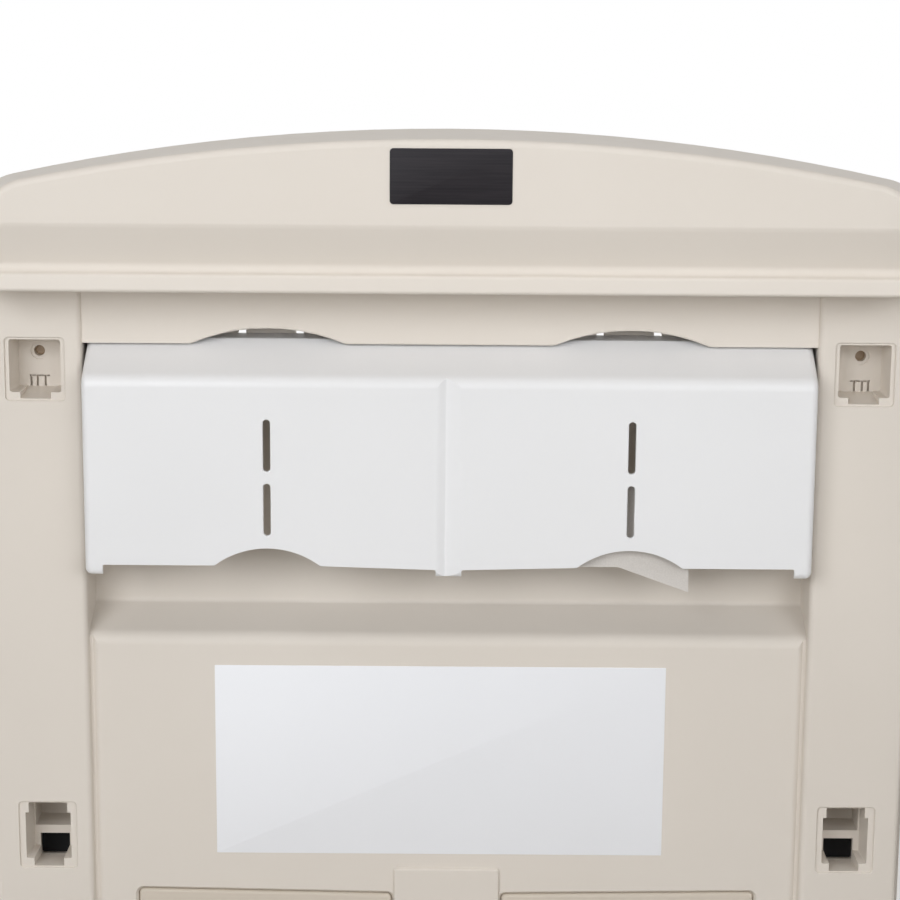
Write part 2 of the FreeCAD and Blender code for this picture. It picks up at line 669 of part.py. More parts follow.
def storage_bin(side):
    """Bin set in from behind: a flange against the panel's back, a deep top rim and a low front wall."""
    front = FIELD_Y + BIN_INSET
    w = BIN_WALL
    seat = FIELD_Y + WALL
    body = prism("y", front, BIN_BACK_Y, bin_outline(side, 0.0))
    body = round_edges(body, BIN_FACE_R, lambda p: abs(p.y - front) < 1e-6)
    flange = prism("y", seat, seat + BIN_FLANGE_T, bin_outline(side, BIN_FLANGE))
    hollow = prism("y", front + w, BIN_BACK_Y - w, bin_outline(side, -w))
    x0, x1 = span(side, BIN_X[0] + w, BIN_X[1] - w)
    mouth_top = BIN_Z[1] - BIN_TOP_RIM
    mouth = prism("y", front - 1, front + w + 1, rect(x0, x1, BIN_FRONT_TOP, mouth_top, BIN_INNER_R))
    tub = join([body, flange]).cut([hollow, mouth])

    def on_mouth(p):
        inside = x0 - 0.1 < p.x < x1 + 0.1 and BIN_FRONT_TOP - 0.1 < p.z < mouth_top + 0.1
        return inside and abs(p.y - front) < 1e-6

    return round_edges(tub, BIN_MOUTH_R, on_mouth)


def dispenser_profile(w):
    """YZ outline of the cover, set in by a wall thickness w."""
    low = DISP_FOOT_Z - w
    back = DISP_BACK_Y + w
    fold = (DISP_Y + w, DISP_FOLD_Z - 0.7 * w, DISP_FOLD_R - w)
    crest = (DISP_TOP_Y + 0.3 * w, DISP_TOP_Z - w, 2)
    return [(DISP_Y + w, low, 0), fold, crest, (back, DISP_TOP_Z - w, 0), (back, low, 0)]


def dispenser_shell():
    """Hollow cover with its keel, its middle wall and an open back and bottom."""
    outer = prism("x", -DISP_HALF, DISP_HALF, dispenser_profile(0.0))
    ends = [e for e in outer.Edges if all(abs(abs(v.X) - DISP_HALF) < 1e-6 for v in e.Vertexes)]
    seen = [e for e in ends if e.CenterOfMass.y < DISP_BACK_Y - 1]
    outer = outer.makeFillet(DISP_EDGE_R, seen)
    half = DISP_HALF - DISP_WALL
    inner = prism("x", -half, half, dispenser_profile(DISP_WALL))
    keel = KEEL_HALF + 1
    keel = box(-keel, keel, DISP_Y + 1, DISP_Y + DISP_WALL + 3, DISP_FOOT_Z - 3, DISP_FOLD_Z + 1)
    middle = DIVIDER_T / 2
    divider = box(-middle, middle, DISP_Y + 1, DISP_BACK_Y, DISP_BOTTOM_Z + DIVIDER_LIFT, DISP_TOP_Z - 1)
    return outer.cut(inner.cut([keel, divider]))


def middle_groove():
    """Shallow groove with soft shoulders down the middle of the cover's face."""
    front = DISP_Y - SKIM
    clear = DISP_Y - 2
    far = MID_GROOVE_HALF + 2 * MID_GROOVE_R
    plan = [(-far, clear, 0), (-far, front, 0), (-MID_GROOVE_HALF, front, MID_GROOVE_R),
            (MID_GROOVE_OFFSET, DISP_Y + MID_GROOVE_DEEP, 1.2), (MID_GROOVE_HALF, front, MID_GROOVE_R),
            (far, front, 0), (far, clear, 0)]
    return prism("z", DISP_FOOT_Z - 2, DISP_TOP_Z, plan)


def dispenser_trim():
    """Cuts in the cover's face and lower edge: groove, feet, finger notches and sight slots."""
    low = DISP_FOOT_Z - 2
    trim = [middle_groove()]
    for side in SIGNS:
        near, far = KEEL_HALF, DISP_HALF - FOOT_W
        bay = [(near, low, 0), (near, DISP_BOTTOM_Z - EDGE_SAG, FOOT_R), (EDGE_SAG_X, DISP_BOTTOM_Z, 0),
               (far, DISP_BOTTOM_Z, FOOT_R), (far, low, 0)]
        trim.append(prism("y", DISP_Y - 1, DISP_Y + FOOT_DEEP, [(side * x, z, r) for x, z, r in bay]))
    trim.append(box(-BEYOND, BEYOND, DISP_Y + FOOT_DEEP, 0, low, DISP_BOTTOM_Z))
    notch_r = (NOTCH_HALF ** 2 + NOTCH_RISE ** 2) / (2 * NOTCH_RISE)
    half = SLOT_W / 2
    for x in (-SCALLOP_X, SCALLOP_X):
        trim.append(rod("y", notch_r, (x, DISP_Y - 1, DISP_BOTTOM_Z + NOTCH_RISE - notch_r), 10))
        for z0, z1 in SLOT_Z:
            trim.append(prism("y", DISP_Y - 1, DISP_Y + 6, rect(x - half, x + half, z0, z1, half - 0.05)))
    return trim


def on_sight_slot(p):
    """Is a point on the front edge of a sight slot?"""
    return abs(p.y - DISP_Y) < 1e-4 and abs(abs(p.x) - SCALLOP_X) < SLOT_W and p.z > SLOT_Z[1][0] - 1


def liner_dispenser():
    """Twin-compartment cover: slanted top, sight slots, finger notches, feet and screw lugs."""
    shell = dispenser_shell().cut(dispenser_trim())
    lugs = [box(*span(side, *LUG_X), DISP_BACK_Y - LUG_T, DISP_BACK_Y, z, z + LUG_TALL)
            for side in SIGNS for z in LUG_Z]
    holes = [rod("y", SCREW_R, (x, DISP_BACK_Y - 5, z), 8) for x, z in dispenser_screw_places()]
    cover = join([shell] + lugs).cut(holes)
    return round_edges(cover, SLOT_EDGE_R, on_sight_slot)


def dispenser_screw_places():
    middle = (LUG_X[0] + LUG_X[1]) / 2 - 0.5
    return [(side * middle, z + LUG_TALL / 2) for side in SIGNS for z in LUG_Z]


def screw(axis, place, head_r, head_t, length):
    """Pan-headed screw that runs up its axis from the underside of the head."""
    back = Vector(*place) - AXES[axis] * head_t
    head = rod(axis, head_r, tuple(back), head_t)
    return head.fuse(rod(axis, SCREW_R, place, length)).removeSplitter()


def dispenser_screws():
    seat = DISP_BACK_Y - LUG_T
    places = [(x, seat, z) for x, z in dispenser_screw_places()]
    return Part.makeCompound([screw("y", place, 3.4, SCREW_HEAD_T, LUG_T) for place in places])


def hood_screws():
    seat = PANEL_TOP - WALL
    places = [(x, HOOD_SCREW_Y, seat) for x in HOOD_SCREW_X]
    return Part.makeCompound([screw("z", place, 4.0, SCREW_HEAD_T, 2 * WALL) for place in places])


def hinge_bracket(side):
    """Pressed-steel arm with a wall flange, a bush eye and a curved stop slot."""
    x0, x1 = span(side, *BRACKET_X)
    through = (x0 - 1, HINGE_Y, HINGE_Z)
    length = x1 - x0 + 2
    eye = rod("x", BRACKET_EYE_R, (x0, HINGE_Y, HINGE_Z), x1 - x0)
    web = box(x0, x1, HINGE_Y, 0, HINGE_Z - BRACKET_EYE_R, HINGE_Z + BRACKET_EYE_R)
    flange_x = span(side, BRACKET_X[0], FLANGE_END_X)
    flange = prism("y", -FLANGE_T, 0, rect(*flange_x, HINGE_Z - FLANGE_DOWN, HINGE_Z + FLANGE_UP, 4))
    slot = tube("x", STOP_RADIUS + STOP_SLOT_R, STOP_RADIUS - STOP_SLOT_R, through, length)
    far = 2 * BRACKET_EYE_R
    out_y, rise = HINGE_Y - far * math.cos(STOP_ANGLE), far * math.sin(STOP_ANGLE)
    sector = [(HINGE_Y, HINGE_Z, 0), (out_y, HINGE_Z - rise, 0), (out_y, HINGE_Z + rise, 0)]
    slot = slot.common(prism("x", x0 - 1, x1 + 1, sector))
    ends = [rod("x", STOP_SLOT_R, (x0 - 1, *stop_place(turn)), length) for turn in SIGNS]
    bore = rod("x", BUSH_R, through, length)
    fixing = rod("y", FIX_R, (side * FIX_X, -FLANGE_T - 1, FIX_LOW_Z), FLANGE_T + 2)
    return join([eye, web, flange]).cut([slot, bore, fixing] + ends)


def stop_place(turn):
    """Y and Z of the stop pin's axis at the lower or upper end of its slot."""
    return HINGE_Y - STOP_RADIUS * math.cos(STOP_ANGLE), HINGE_Z + turn * STOP_RADIUS * math.sin(STOP_ANGLE)


def hinge_bush(side):
    """Flanged nylon bush in the bracket's eye."""
    x0, x1 = span(side, BRACKET_X[0] - BUSH_COLLAR, BRACKET_X[1])
    barrel = rod("x", BUSH_R, (x0, HINGE_Y, HINGE_Z), x1 - x0)
    collar_x = span(side, BRACKET_X[0] - BUSH_COLLAR, BRACKET_X[0])[0]
    collar = rod("x", BUSH_R + 2.5, (collar_x, HINGE_Y, HINGE_Z), BUSH_COLLAR)
    bore = rod("x", SHAFT_R + RUN_GAP, (x0 - 1, HINGE_Y, HINGE_Z), x1 - x0 + 2)
    return join([barrel, collar]).cut(bore)


def damper_body(side):
    """Drum of the rotary damper, with a foot that seats on the bracket."""
    x0, x1 = span(side, *DAMPER_X)
    drum = rod("x", DAMPER_R, (x0, HINGE_Y, HINGE_Z), x1 - x0)
    room = rod("x", ROTOR_R + ROTOR_GAP, (x0 + DAMPER_WALL, HINGE_Y, HINGE_Z), x1 - x0 - 2 * DAMPER_WALL)
    bore = rod("x", SHAFT_R + RUN_GAP, (x0 - 1, HINGE_Y, HINGE_Z), x1 - x0 + 2)
    foot_x = span(side, DAMPER_X[1] - 6, BRACKET_X[0])
    foot = rect(HINGE_Y + BUSH_R + 3, HINGE_Y + DAMPER_R - 1.5, HINGE_Z - 5, HINGE_Z + 5, 1)
    return join([drum, prism("x", *foot_x, foot)]).cut([room, bore])


def damper_rotor(side):
    """Vaned rotor fixed on the shaft inside the damper drum."""
    clear = DAMPER_WALL + ROTOR_GAP
    x0, x1 = span(side, DAMPER_X[0] + clear, DAMPER_X[1] - clear)
    hub = rod("x", SHAFT_R + 3, (x0, HINGE_Y, HINGE_Z), x1 - x0)
    tip = ROTOR_R - 0.6
    vanes = box(x0, x1, HINGE_Y - tip, HINGE_Y + tip, HINGE_Z - 2, HINGE_Z + 2)
    return join([hub, vanes]).cut(rod("x", SHAFT_R, (x0 - 1, HINGE_Y, HINGE_Z), x1 - x0 + 2))


def hinge_shaft():
    shaft = rod("x", SHAFT_R, (-SHAFT_HALF, HINGE_Y, HINGE_Z), 2 * SHAFT_HALF)
    shaft = shaft.makeChamfer(1.0, [e for e in shaft.Edges if e.Closed])
    grooves = []
    for x in clip_places():
        ring = tube("x", SHAFT_R + 2, SHAFT_R - 1, (x - 0.6, HINGE_Y, HINGE_Z), 1.2)
        grooves.append(ring)
    return shaft.cut(grooves)


def clip_places():
    return [side * (ARM_X[1] + 1.0) for _, side in SIDES]


def shaft_clips():
    """Open retaining rings outside the hinge arms."""
    clips = []
    for x in clip_places():
        ring = tube("x", SHAFT_R + 3, SHAFT_R - 1, (x - 0.5, HINGE_Y, HINGE_Z), 1.0)
        gap = box(x - 1, x + 1, HINGE_Y - 12, HINGE_Y, HINGE_Z - 3, HINGE_Z + 3)
        clips.append(ring.cut(gap))
    return Part.makeCompound(clips)


def hinge_arm(side):
    """Steel arm from the shaft to the rear cross tube, carrying the stop pin."""
    x0, x1 = span(side, *ARM_X)
    hub = rod("x", ARM_HUB_R, (x0, HINGE_Y, HINGE_Z), x1 - x0)
    half = ARM_HUB_R - 3
    web = prism("x", x0, x1, [(CROSS_Y[1], RAIL_Z[0] + 1, 0), (HINGE_Y, HINGE_Z - half, 0),
                              (HINGE_Y, HINGE_Z + half, 0), (CROSS_Y[1], RAIL_Z[1] - 1, 0)])
    arm = join([hub, web]).cut(rod("x", SHAFT_R, (x0 - 1, HINGE_Y, HINGE_Z), x1 - x0 + 2))
    p0, p1 = span(side, BRACKET_X[0], ARM_X[0] + 2)
    return join([arm, rod("x", STOP_PIN_R, (p0, *stop_place(-1)), p1 - p0)])


def bed_form(inset, low, high):
    """Drafted bed with a round hinge end, between two heights."""
    top = BED_TOP - inset
    bottom = BED_LOW + inset
    end = BED_END_Y + inset
    hinge = [Vector(-BEYOND, HINGE_Y, z) for z in (bottom, top)]
    free = [Vector(-BEYOND, end, z) for z in (bottom, top)]
    nose = Vector(-BEYOND, HINGE_Y + BED_HALF_DEPTH - inset, HINGE_Z)
    arc = Part.Arc(hinge[1], nose, hinge[0]).toShape()
    side = Part.Wire([arc, line(hinge[0], free[0]), line(*free), line(free[1], hinge[1])])
    side = Part.Face(side).extrude(Vector(2 * BEYOND, 0, 0))
    plans = []
    for z in (BED_LOW, BED_TOP):
        half = flank(HINGE_Y + z - HINGE_Z) - inset - 0.3
        r = BED_CORNER_R - inset
        plans.append([(-half, end, r), (half, end, r), (half, -30, 0), (-half, -30, 0)])
    plan = taper("z", BED_LOW, plans[0], BED_TOP, plans[1])
    return side.common(plan).common(box(-BEYOND, BEYOND, BED_END_Y - 5, 0, low, high))


def basin(grow):
    """Changing hollow: drafted sides and round corners."""
    low = BASIN_Z - grow
    plans = []
    for level in (1, 0):
        half, near, far = BASIN_HALF[level] + grow, BASIN_NEAR[level] + grow, BASIN_FAR[level] - grow
        plans.append(rect(-half, half, far, near, BASIN_CORNER_R[level] + grow))
    hollow = taper("z", low, plans[0], BED_TOP + 0.5, plans[1])
    return round_edges(hollow, BASIN_FLOOR_R + grow, lambda p: abs(p.z - low) < 1e-6)


def hinge_notches():
    """Gaps in the round hinge end for the brackets, arms and dampers."""
    cuts = []
    for _, side in SIDES:
        x0, x1 = span(side, *NOTCH_X)
        cuts.append(box(x0, x1, HINGE_Y - NOTCH_R, -40, BED_LOW - 1, BED_TOP + 1))
    return cuts


def grip_outline(grow):
    """Outline of the finger grip in the bed's outer face."""
    return rect(-GRIP_HALF - grow, GRIP_HALF + grow, GRIP_Y[0] - grow, GRIP_Y[1] + grow, GRIP_R + grow)


def bed_ribs(hollow):
    """Stiffening ribs under the tray and saddles under the side rails."""
    top = BASIN_Z - BED_WALL - 0.6
    x0, x1, y0, y1 = BED_RIB_REACH
    half = RIB / 2
    frames = [box(x - half, x + half, y0, y1, BED_LOW, top) for x in BED_RIB_X]
    frames += [box(x0, x1, y - half, y + half, BED_LOW, top) for y in BED_RIB_Y]
    for side in SIGNS:
        saddle = span(side, RAIL_X[0] - 3, RAIL_X[1] + 9)
        frames += [box(*saddle, y - 2, y + 2, BED_LOW, RAIL_Z[0]) for y in BED_RIB_Y]
    return [frame.common(hollow) for frame in frames]


def bed_shell():
    """Outer pan: drafted sides, round hinge end, recessed grip and stiffening ribs."""
    split = BED_TOP - RIM_T
    outer = bed_form(0.0, BED_LOW - 1, split)
    outer = round_edges(outer, BED_EDGE_R, lambda p: abs(p.z - BED_LOW) < 1e-6 and p.y < HINGE_Y + 1)
    hollow = bed_form(BED_WALL, BED_LOW, BED_TOP)
    cup = prism("z", BED_LOW, BED_LOW + GRIP_DEEP + BED_WALL, grip_outline(1))
    scoop = taper("z", BED_LOW - 0.01, grip_outline(0), BED_LOW + GRIP_DEEP, grip_outline(-3))
    bosses = [rod("z", TRAY_BOSS_R, (x, y, BED_LOW + 1), split - BED_LOW - 1) for x, y in tray_screw_places()]
    catch_r = CATCH_SLEEVE_R + 2.5
    catches = [rod("y", catch_r, (s * CATCH_X, BED_END_Y + 1, HINGE_Z), CATCH_BORE + 4) for s in SIGNS]
    shell = join([outer.cut(hollow.cut(cup))] + bed_ribs(hollow) + bosses + catches)
    holes = [rod("z", SCREW_R, (x, y, split - TRAY_SCREW_DEEP), 20) for x, y in tray_screw_places()]
    holes += [rod("y", CATCH_SLEEVE_R, (s * CATCH_X, BED_END_Y - 1, HINGE_Z), CATCH_BORE + 3) for s in SIGNS]
    return shell.cut([scoop] + holes + hinge_notches())


def tray_screw_places():
    return [(side * x, y) for side in SIGNS for x, y in TRAY_SCREWS]


def on_basin_rim(p):
    """Is a point on the edge between the rim's top and the changing hollow?"""
    inside = abs(p.x) < BASIN_HALF[0] + 2 and BASIN_FAR[0] - 2 < p.y < BASIN_NEAR[0] + 2
    return inside and abs(p.z - BED_TOP) < 1e-6


def bed_tray():
    """Inner moulding: flat rim round a drafted changing hollow with belt slots."""
    rim = bed_form(0.0, BED_TOP - RIM_T, BED_TOP + 1)
    bowl = basin(BED_WALL).common(box(-BEYOND, BEYOND, BED_END_Y, 0, 0, BED_TOP))
    tray = round_edges(join([rim, bowl]).cut(basin(0.0)), RIM_EDGE_R, on_basin_rim)
    slot_y = (BELT_Y - BELT_HALF - 2, BELT_Y + BELT_HALF + 2)
    cuts = hinge_notches()
    for side in SIGNS:
        slot_x = span(side, BELT_SLOT_X - 1.2, BELT_SLOT_X + 2.7)
        cuts.append(box(*slot_x, *slot_y, BASIN_Z - 8, BASIN_Z + 12))
    for x, y in tray_screw_places():
        cuts.append(rod("z", SCREW_CLEAR_R, (x, y, BED_TOP - 6), 10))
        cuts.append(rod("z", TRAY_HEAD_R + 0.3, (x, y, BED_TOP - TRAY_HEAD_SEAT), 4))
    return tray.cut(cuts)


def tray_screws():
    """Flat-headed screws let into the rim, driven down into the shell's bosses."""
    screws = []
    for x, y in tray_screw_places():
        head = rod("z", TRAY_HEAD_R, (x, y, BED_TOP - TRAY_HEAD_SEAT), TRAY_HEAD_SEAT - 0.2)
        shank = rod("z", SCREW_R, (x, y, BED_TOP - TRAY_SCREW_DEEP), TRAY_SCREW_DEEP - TRAY_HEAD_SEAT)
        screws.append(head.fuse(shank).removeSplitter())
    return Part.makeCompound(screws)


def side_rail(side):
    x0, x1 = span(side, *RAIL_X)
    y0, y1 = RAIL_Y
    z0, z1 = RAIL_Z
    w = RAIL_WALL
    outer = prism("y", y0, y1, rect(x0, x1, z0, z1, 3))
    return outer.cut(prism("y", y0 - 1, y1 + 1, rect(x0 + w, x1 - w, z0 + w, z1 - w, 1.2)))


def rear_cross_tube():
    y0, y1 = CROSS_Y
    z0, z1 = RAIL_Z
    w = RAIL_WALL
    reach = RAIL_X[0]
    outer = prism("x", -reach, reach, rect(y0, y1, z0, z1, 3))
    return outer.cut(prism("x", -reach - 1, reach + 1, rect(y0 + w, y1 - w, z0 + w, z1 - w, 1.2)))


def catch_sleeve(side):
    """Bush of the sprung catch in the bed's free end."""
    x = side * CATCH_X
    sleeve = rod("y", CATCH_SLEEVE_R, (x, BED_END_Y, HINGE_Z), CATCH_BORE)
    bore = rod("y", CATCH_R + 1.2, (x, BED_END_Y + 2.5, HINGE_Z), CATCH_BORE - 4.5)
    mouth = rod("y", CATCH_R + RUN_GAP, (x, BED_END_Y - 1, HINGE_Z), 5)
    return sleeve.cut([bore, mouth])


def catch_plunger(side):
    """Round-nosed plunger that clicks into the hood's lip."""
    x = side * CATCH_X
    nose = Part.makeSphere(CATCH_R, Vector(x, BED_END_Y - CATCH_OUT + CATCH_R, HINGE_Z))
    stem = rod("y", CATCH_R, (x, BED_END_Y - CATCH_OUT + CATCH_R, HINGE_Z), 8.5)
    collar = rod("y", CATCH_R + 0.9, (x, BED_END_Y + 2.7, HINGE_Z), 2.0)
    return join([nose, stem, collar])


def catch_spring(side):
    """Closed coil pack behind the plunger's collar, as a plain sleeve."""
    x = side * CATCH_X
    start = BED_END_Y + 7.2
    length = CATCH_BORE - 2.0 - 7.2
    return tube("y", CATCH_R + 0.9, CATCH_R + 0.2, (x, start, HINGE_Z), length)


def belt_strap(side):
    """Webbing from its keeper under the bed, up through the slot and along the floor.

    The left strap is sewn to the buckle; the right one runs through it under the cam.
    """
    low = BASIN_Z + BELT_LIFT
    high = low + BELT_T
    under = BASIN_Z - BED_WALL - KEEPER_T - BELT_LIFT
    inner, outer = BELT_SLOT_X, BELT_SLOT_X + BELT_T
    tail = BELT_SLOT_X + KEEPER_REACH
    down = [(tail, under - BELT_T, 0), (tail, under, 0), (outer, under, 0.3), (outer, high, 1.6)]
    up = [(inner, low, 0.3), (inner, under - BELT_T, 1.6)]
    edge = BUCKLE_HALF[0]
    if side < 0:
        along = [(edge, high, 0), (edge, low, 0)]
    else:
        step = low + BUCKLE_BASE + 0.1
        along = [(edge + 14, high, 0), (edge, step + BELT_T, 0), (-edge + 9, step + BELT_T, 0),
                 (-edge + 9, step, 0), (edge + 0.5, step, 0), (edge + 14, low, 0)]
    corners = [(side * x, z, r) for x, z, r in down + along + up]
    return prism("y", BELT_Y - BELT_HALF, BELT_Y + BELT_HALF, corners)


def belt_anchor(side):
    """Steel keeper under the bed's floor, with a slot for the webbing."""
    x0, x1 = span(side, BELT_SLOT_X - 9, BELT_SLOT_X + KEEPER_REACH)
    s0, s1 = span(side, BELT_SLOT_X - 0.3, BELT_SLOT_X + BELT_T + 0.3)
    top = BASIN_Z - BED_WALL
    plate = prism("z", top - KEEPER_T, top, rect(x0, x1, BELT_Y - BELT_HALF - 6, BELT_Y + BELT_HALF + 6, 3))
    return plate.cut(box(s0, s1, BELT_Y - BELT_HALF - 1, BELT_Y + BELT_HALF + 1, top - KEEPER_T - 1, top + 1))


def buckle_frame():
    """Cam buckle: base plate with two cheeks that carry the cam's pin."""
    low = BASIN_Z + BELT_LIFT
    half_x, half_y = BUCKLE_HALF
    plate = rect(-half_x, half_x, BELT_Y - half_y, BELT_Y + half_y, 4)
    base = prism("z", low, low + BUCKLE_BASE, plate)
    crest = CAM_Z + 6.0
    cheek = [(-15, low, 0), (18, low, 0), (14, crest, 5), (-1, crest, 5)]
    cheeks = [prism("y", y, y + CHEEK_T, cheek) for y in (BELT_Y - half_y, BELT_Y + half_y - CHEEK_T)]
    return join([base] + cheeks).cut(buckle_pin())


def buckle_pin():
    half = BUCKLE_HALF[1]
    return rod("y", CAM_PIN_R, (CAM_X, BELT_Y - half, CAM_Z), 2 * half)


def buckle_cam():
    """Thumb lever whose eccentric cam grips the webbing while it lies flat."""
    half = BUCKLE_HALF[1] - CHEEK_T - 0.4
    nose = 3.6
    grip = 4.5
    tip = -LEVER_REACH
    lever = [(nose, -nose, 3.3), (nose, nose, 3.3), (-8, nose, 0), (tip, -1.0, 1.2), (tip, -3.6, 1.2),
             (-9, 0.2, 0), (-5, -grip, 1.5), (-1, -grip, 1.0)]
    cam = prism("y", BELT_Y - half, BELT_Y + half, [(CAM_X + x, CAM_Z + z, r) for x, z, r in lever])
    return cam.cut(rod("y", CAM_PIN_R + RUN_GAP, (CAM_X, BELT_Y - half - 1, CAM_Z), 2 * half + 2))


def bed_bumpers():
    """Soft buttons on the rim that meet the panel when the bed is shut."""
    places = [(side * BUMPER_X, y) for _, side in SIDES for y in BUMPER_Y]
    return Part.makeCompound([Part.makeCone(5.5, 4.0, BUMPER_H, Vector(x, y, BED_TOP)) for x, y in places])


def save(node, shape):
    shape.translate(Vector(0, 0, -ORIGIN_Z))
    shape.exportStep("parts/" + node + ".step")
    print(f"{node:22s} solids {len(shape.Solids)} valid {shape.isValid()} {shape.Volume / 1000:9.2f} cm3")


PAIRS = {
    "storage_bin": storage_bin, "hinge_bracket": hinge_bracket, "hinge_bush": hinge_bush,
    "damper_body": damper_body, "damper_rotor": damper_rotor, "hinge_arm": hinge_arm,
    "side_rail": side_rail, "catch_sleeve": catch_sleeve, "catch_plunger": catch_plunger,
    "catch_spring": catch_spring, "belt_strap": belt_strap, "belt_anchor": belt_anchor,
}
SINGLES = {
    "back_panel": back_panel, "hood": hood, "hood_screws": hood_screws, "liner_dispenser": liner_dispenser,
    "dispenser_screws": dispenser_screws, "hinge_shaft": hinge_shaft, "shaft_clips": shaft_clips,
    "bed_shell": bed_shell, "bed_tray": bed_tray, "tray_screws": tray_screws,
    "rear_cross_tube": rear_cross_tube, "buckle_frame": buckle_frame, "buckle_pin": buckle_pin,
    "buckle_cam": buckle_cam, "bed_bumpers": bed_bumpers, "pocket_pads": pocket_pads,
}

os.makedirs("parts", exist_ok=True)
for name, make in SINGLES.items():
    save(name, make())
for name, make in PAIRS.items():
    for word, sign in SIDES:
        save(name + "_" + word, make(sign))
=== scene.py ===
import json
import math
import bpy
from mathutils import Matrix, Vector


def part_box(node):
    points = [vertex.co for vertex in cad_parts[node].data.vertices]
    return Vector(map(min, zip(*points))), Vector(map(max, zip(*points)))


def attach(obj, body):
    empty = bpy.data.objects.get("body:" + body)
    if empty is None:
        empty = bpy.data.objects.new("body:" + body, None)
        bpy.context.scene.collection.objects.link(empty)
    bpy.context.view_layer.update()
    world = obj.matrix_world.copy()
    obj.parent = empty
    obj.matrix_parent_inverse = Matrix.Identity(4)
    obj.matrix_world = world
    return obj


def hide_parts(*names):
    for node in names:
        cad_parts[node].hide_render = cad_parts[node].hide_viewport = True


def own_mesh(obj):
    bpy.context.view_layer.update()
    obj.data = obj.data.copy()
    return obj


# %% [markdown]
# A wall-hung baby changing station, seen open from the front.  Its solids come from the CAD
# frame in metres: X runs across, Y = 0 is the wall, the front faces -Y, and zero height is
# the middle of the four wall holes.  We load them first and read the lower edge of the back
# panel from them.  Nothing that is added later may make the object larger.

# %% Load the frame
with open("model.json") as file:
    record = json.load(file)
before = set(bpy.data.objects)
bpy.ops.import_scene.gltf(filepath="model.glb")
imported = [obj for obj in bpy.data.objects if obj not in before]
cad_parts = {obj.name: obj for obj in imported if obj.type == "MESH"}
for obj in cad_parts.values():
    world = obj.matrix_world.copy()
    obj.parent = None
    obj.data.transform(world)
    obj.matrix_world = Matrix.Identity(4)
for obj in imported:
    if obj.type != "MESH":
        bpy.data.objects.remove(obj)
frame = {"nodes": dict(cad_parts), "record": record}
scene = bpy.context.scene
NODES = frame["nodes"]
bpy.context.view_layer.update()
LOWER_EDGE_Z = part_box("back_panel")[0][2]

# %% [markdown]
# The photograph looks down a little from straight in front, through a long lens.  The
# camera's place and angles were fitted to corners of the pockets, the dispenser, the label
# place and the lip.  A camera could also track an empty, but plain numbers are easier to
# check.

# %% Camera
CAMERA_PLACE = (0.0004, -1.3760, 0.6134)
LOOK_DOWN = math.radians(11.446)
ROLL = math.radians(0.403)
LENS_MM, SENSOR_MM = 92.0, 36.0
bpy.ops.object.camera_add(location=CAMERA_PLACE)
camera = bpy.context.object
turn = Matrix.Rotation(math.radians(90.0) - LOOK_DOWN, 4, "X") @ Matrix.Rotation(ROLL, 4, "Z")
camera.rotation_euler = turn.to_euler()
camera.data.lens = LENS_MM
camera.data.sensor_width = SENSOR_MM
scene.camera = camera
scene.view_settings.view_transform = "Standard"
print("camera", [round(v, 3) for v in camera.location], "lens", camera.data.lens)

# %% [markdown]
# The studio is plain.  A pale floor just under the unit keeps its shadow.  A shadow catcher
# would leave the picture see-through and ask for compositing, so a plane does it instead.  It
# is lifted towards white by a glow that Light Path switches on for the camera alone, so no
# light leaves it for that.

# %% Floor
FLOOR_SIZE = 8.0
FLOOR_MIDDLE_Y = -0.45
FLOOR_GAP = 0.002
FLOOR_LIFT = 0.30
floor_z = LOWER_EDGE_Z - FLOOR_GAP
bpy.ops.mesh.primitive_plane_add(size=FLOOR_SIZE, location=(0.0, FLOOR_MIDDLE_Y, floor_z))
floor = bpy.context.object
floor.name = "studio_floor"
bpy.ops.object.transform_apply(location=True, rotation=False, scale=False)
floor_paint = bpy.data.materials.new("pale_floor")
floor_paint.use_nodes = True
floor_tree = floor_paint.node_tree
floor_bsdf = floor_tree.nodes["Principled BSDF"]
floor_bsdf.inputs["Base Color"].default_value = (0.88, 0.88, 0.87, 1.0)
floor_bsdf.inputs["Roughness"].default_value = 0.9
floor_bsdf.inputs["Emission Color"].default_value = (1.0, 1.0, 0.99, 1.0)
lift = floor_tree.nodes.new("ShaderNodeMath")
lift.operation = "MULTIPLY"
lift.inputs[1].default_value = FLOOR_LIFT
floor_path = floor_tree.nodes.new("ShaderNodeLightPath")
floor_tree.links.new(floor_path.outputs["Is Camera Ray"], lift.inputs[0])
floor_tree.links.new(lift.outputs[0], floor_bsdf.inputs["Emission Strength"])
floor.data.materials.append(floor_paint)
print("floor at", round(floor_z, 4))

# %% [markdown]
# The world is white to the camera, to mirrors and to glass.  To every other ray it is a
# dimmer warm grey, so the white background costs no extra light on the object.  More light
# would bleach a grey background too, but it would bleach the object with it.

# %% White surround
SURROUND_LIGHT = 0.20
WARM_GREY = (1.0, 0.90, 0.78, 1.0)
WHITE = (1.0, 1.0, 1.0, 1.0)
world = bpy.data.worlds.new("studio")
scene.world = world
world.use_nodes = True
tree = world.node_tree
tree.nodes.clear()
out = tree.nodes.new("ShaderNodeOutputWorld")
choose = tree.nodes.new("ShaderNodeMixShader")
dim = tree.nodes.new("ShaderNodeBackground")
dim.inputs["Color"].default_value = WARM_GREY
dim.inputs["Strength"].default_value = SURROUND_LIGHT
white = tree.nodes.new("ShaderNodeBackground")
white.inputs["Color"].default_value = WHITE
white.inputs["Strength"].default_value = 1.0
path = tree.nodes.new("ShaderNodeLightPath")
seen = path.outputs["Is Camera Ray"]
for ray in ("Is Glossy Ray", "Is Transmission Ray"):
    either = tree.nodes.new("ShaderNodeMath")
    either.operation = "MAXIMUM"
    tree.links.new(seen, either.inputs[0])
    tree.links.new(path.outputs[ray], either.inputs[1])
    seen = either.outputs[0]
tree.links.new(seen, choose.inputs["Fac"])
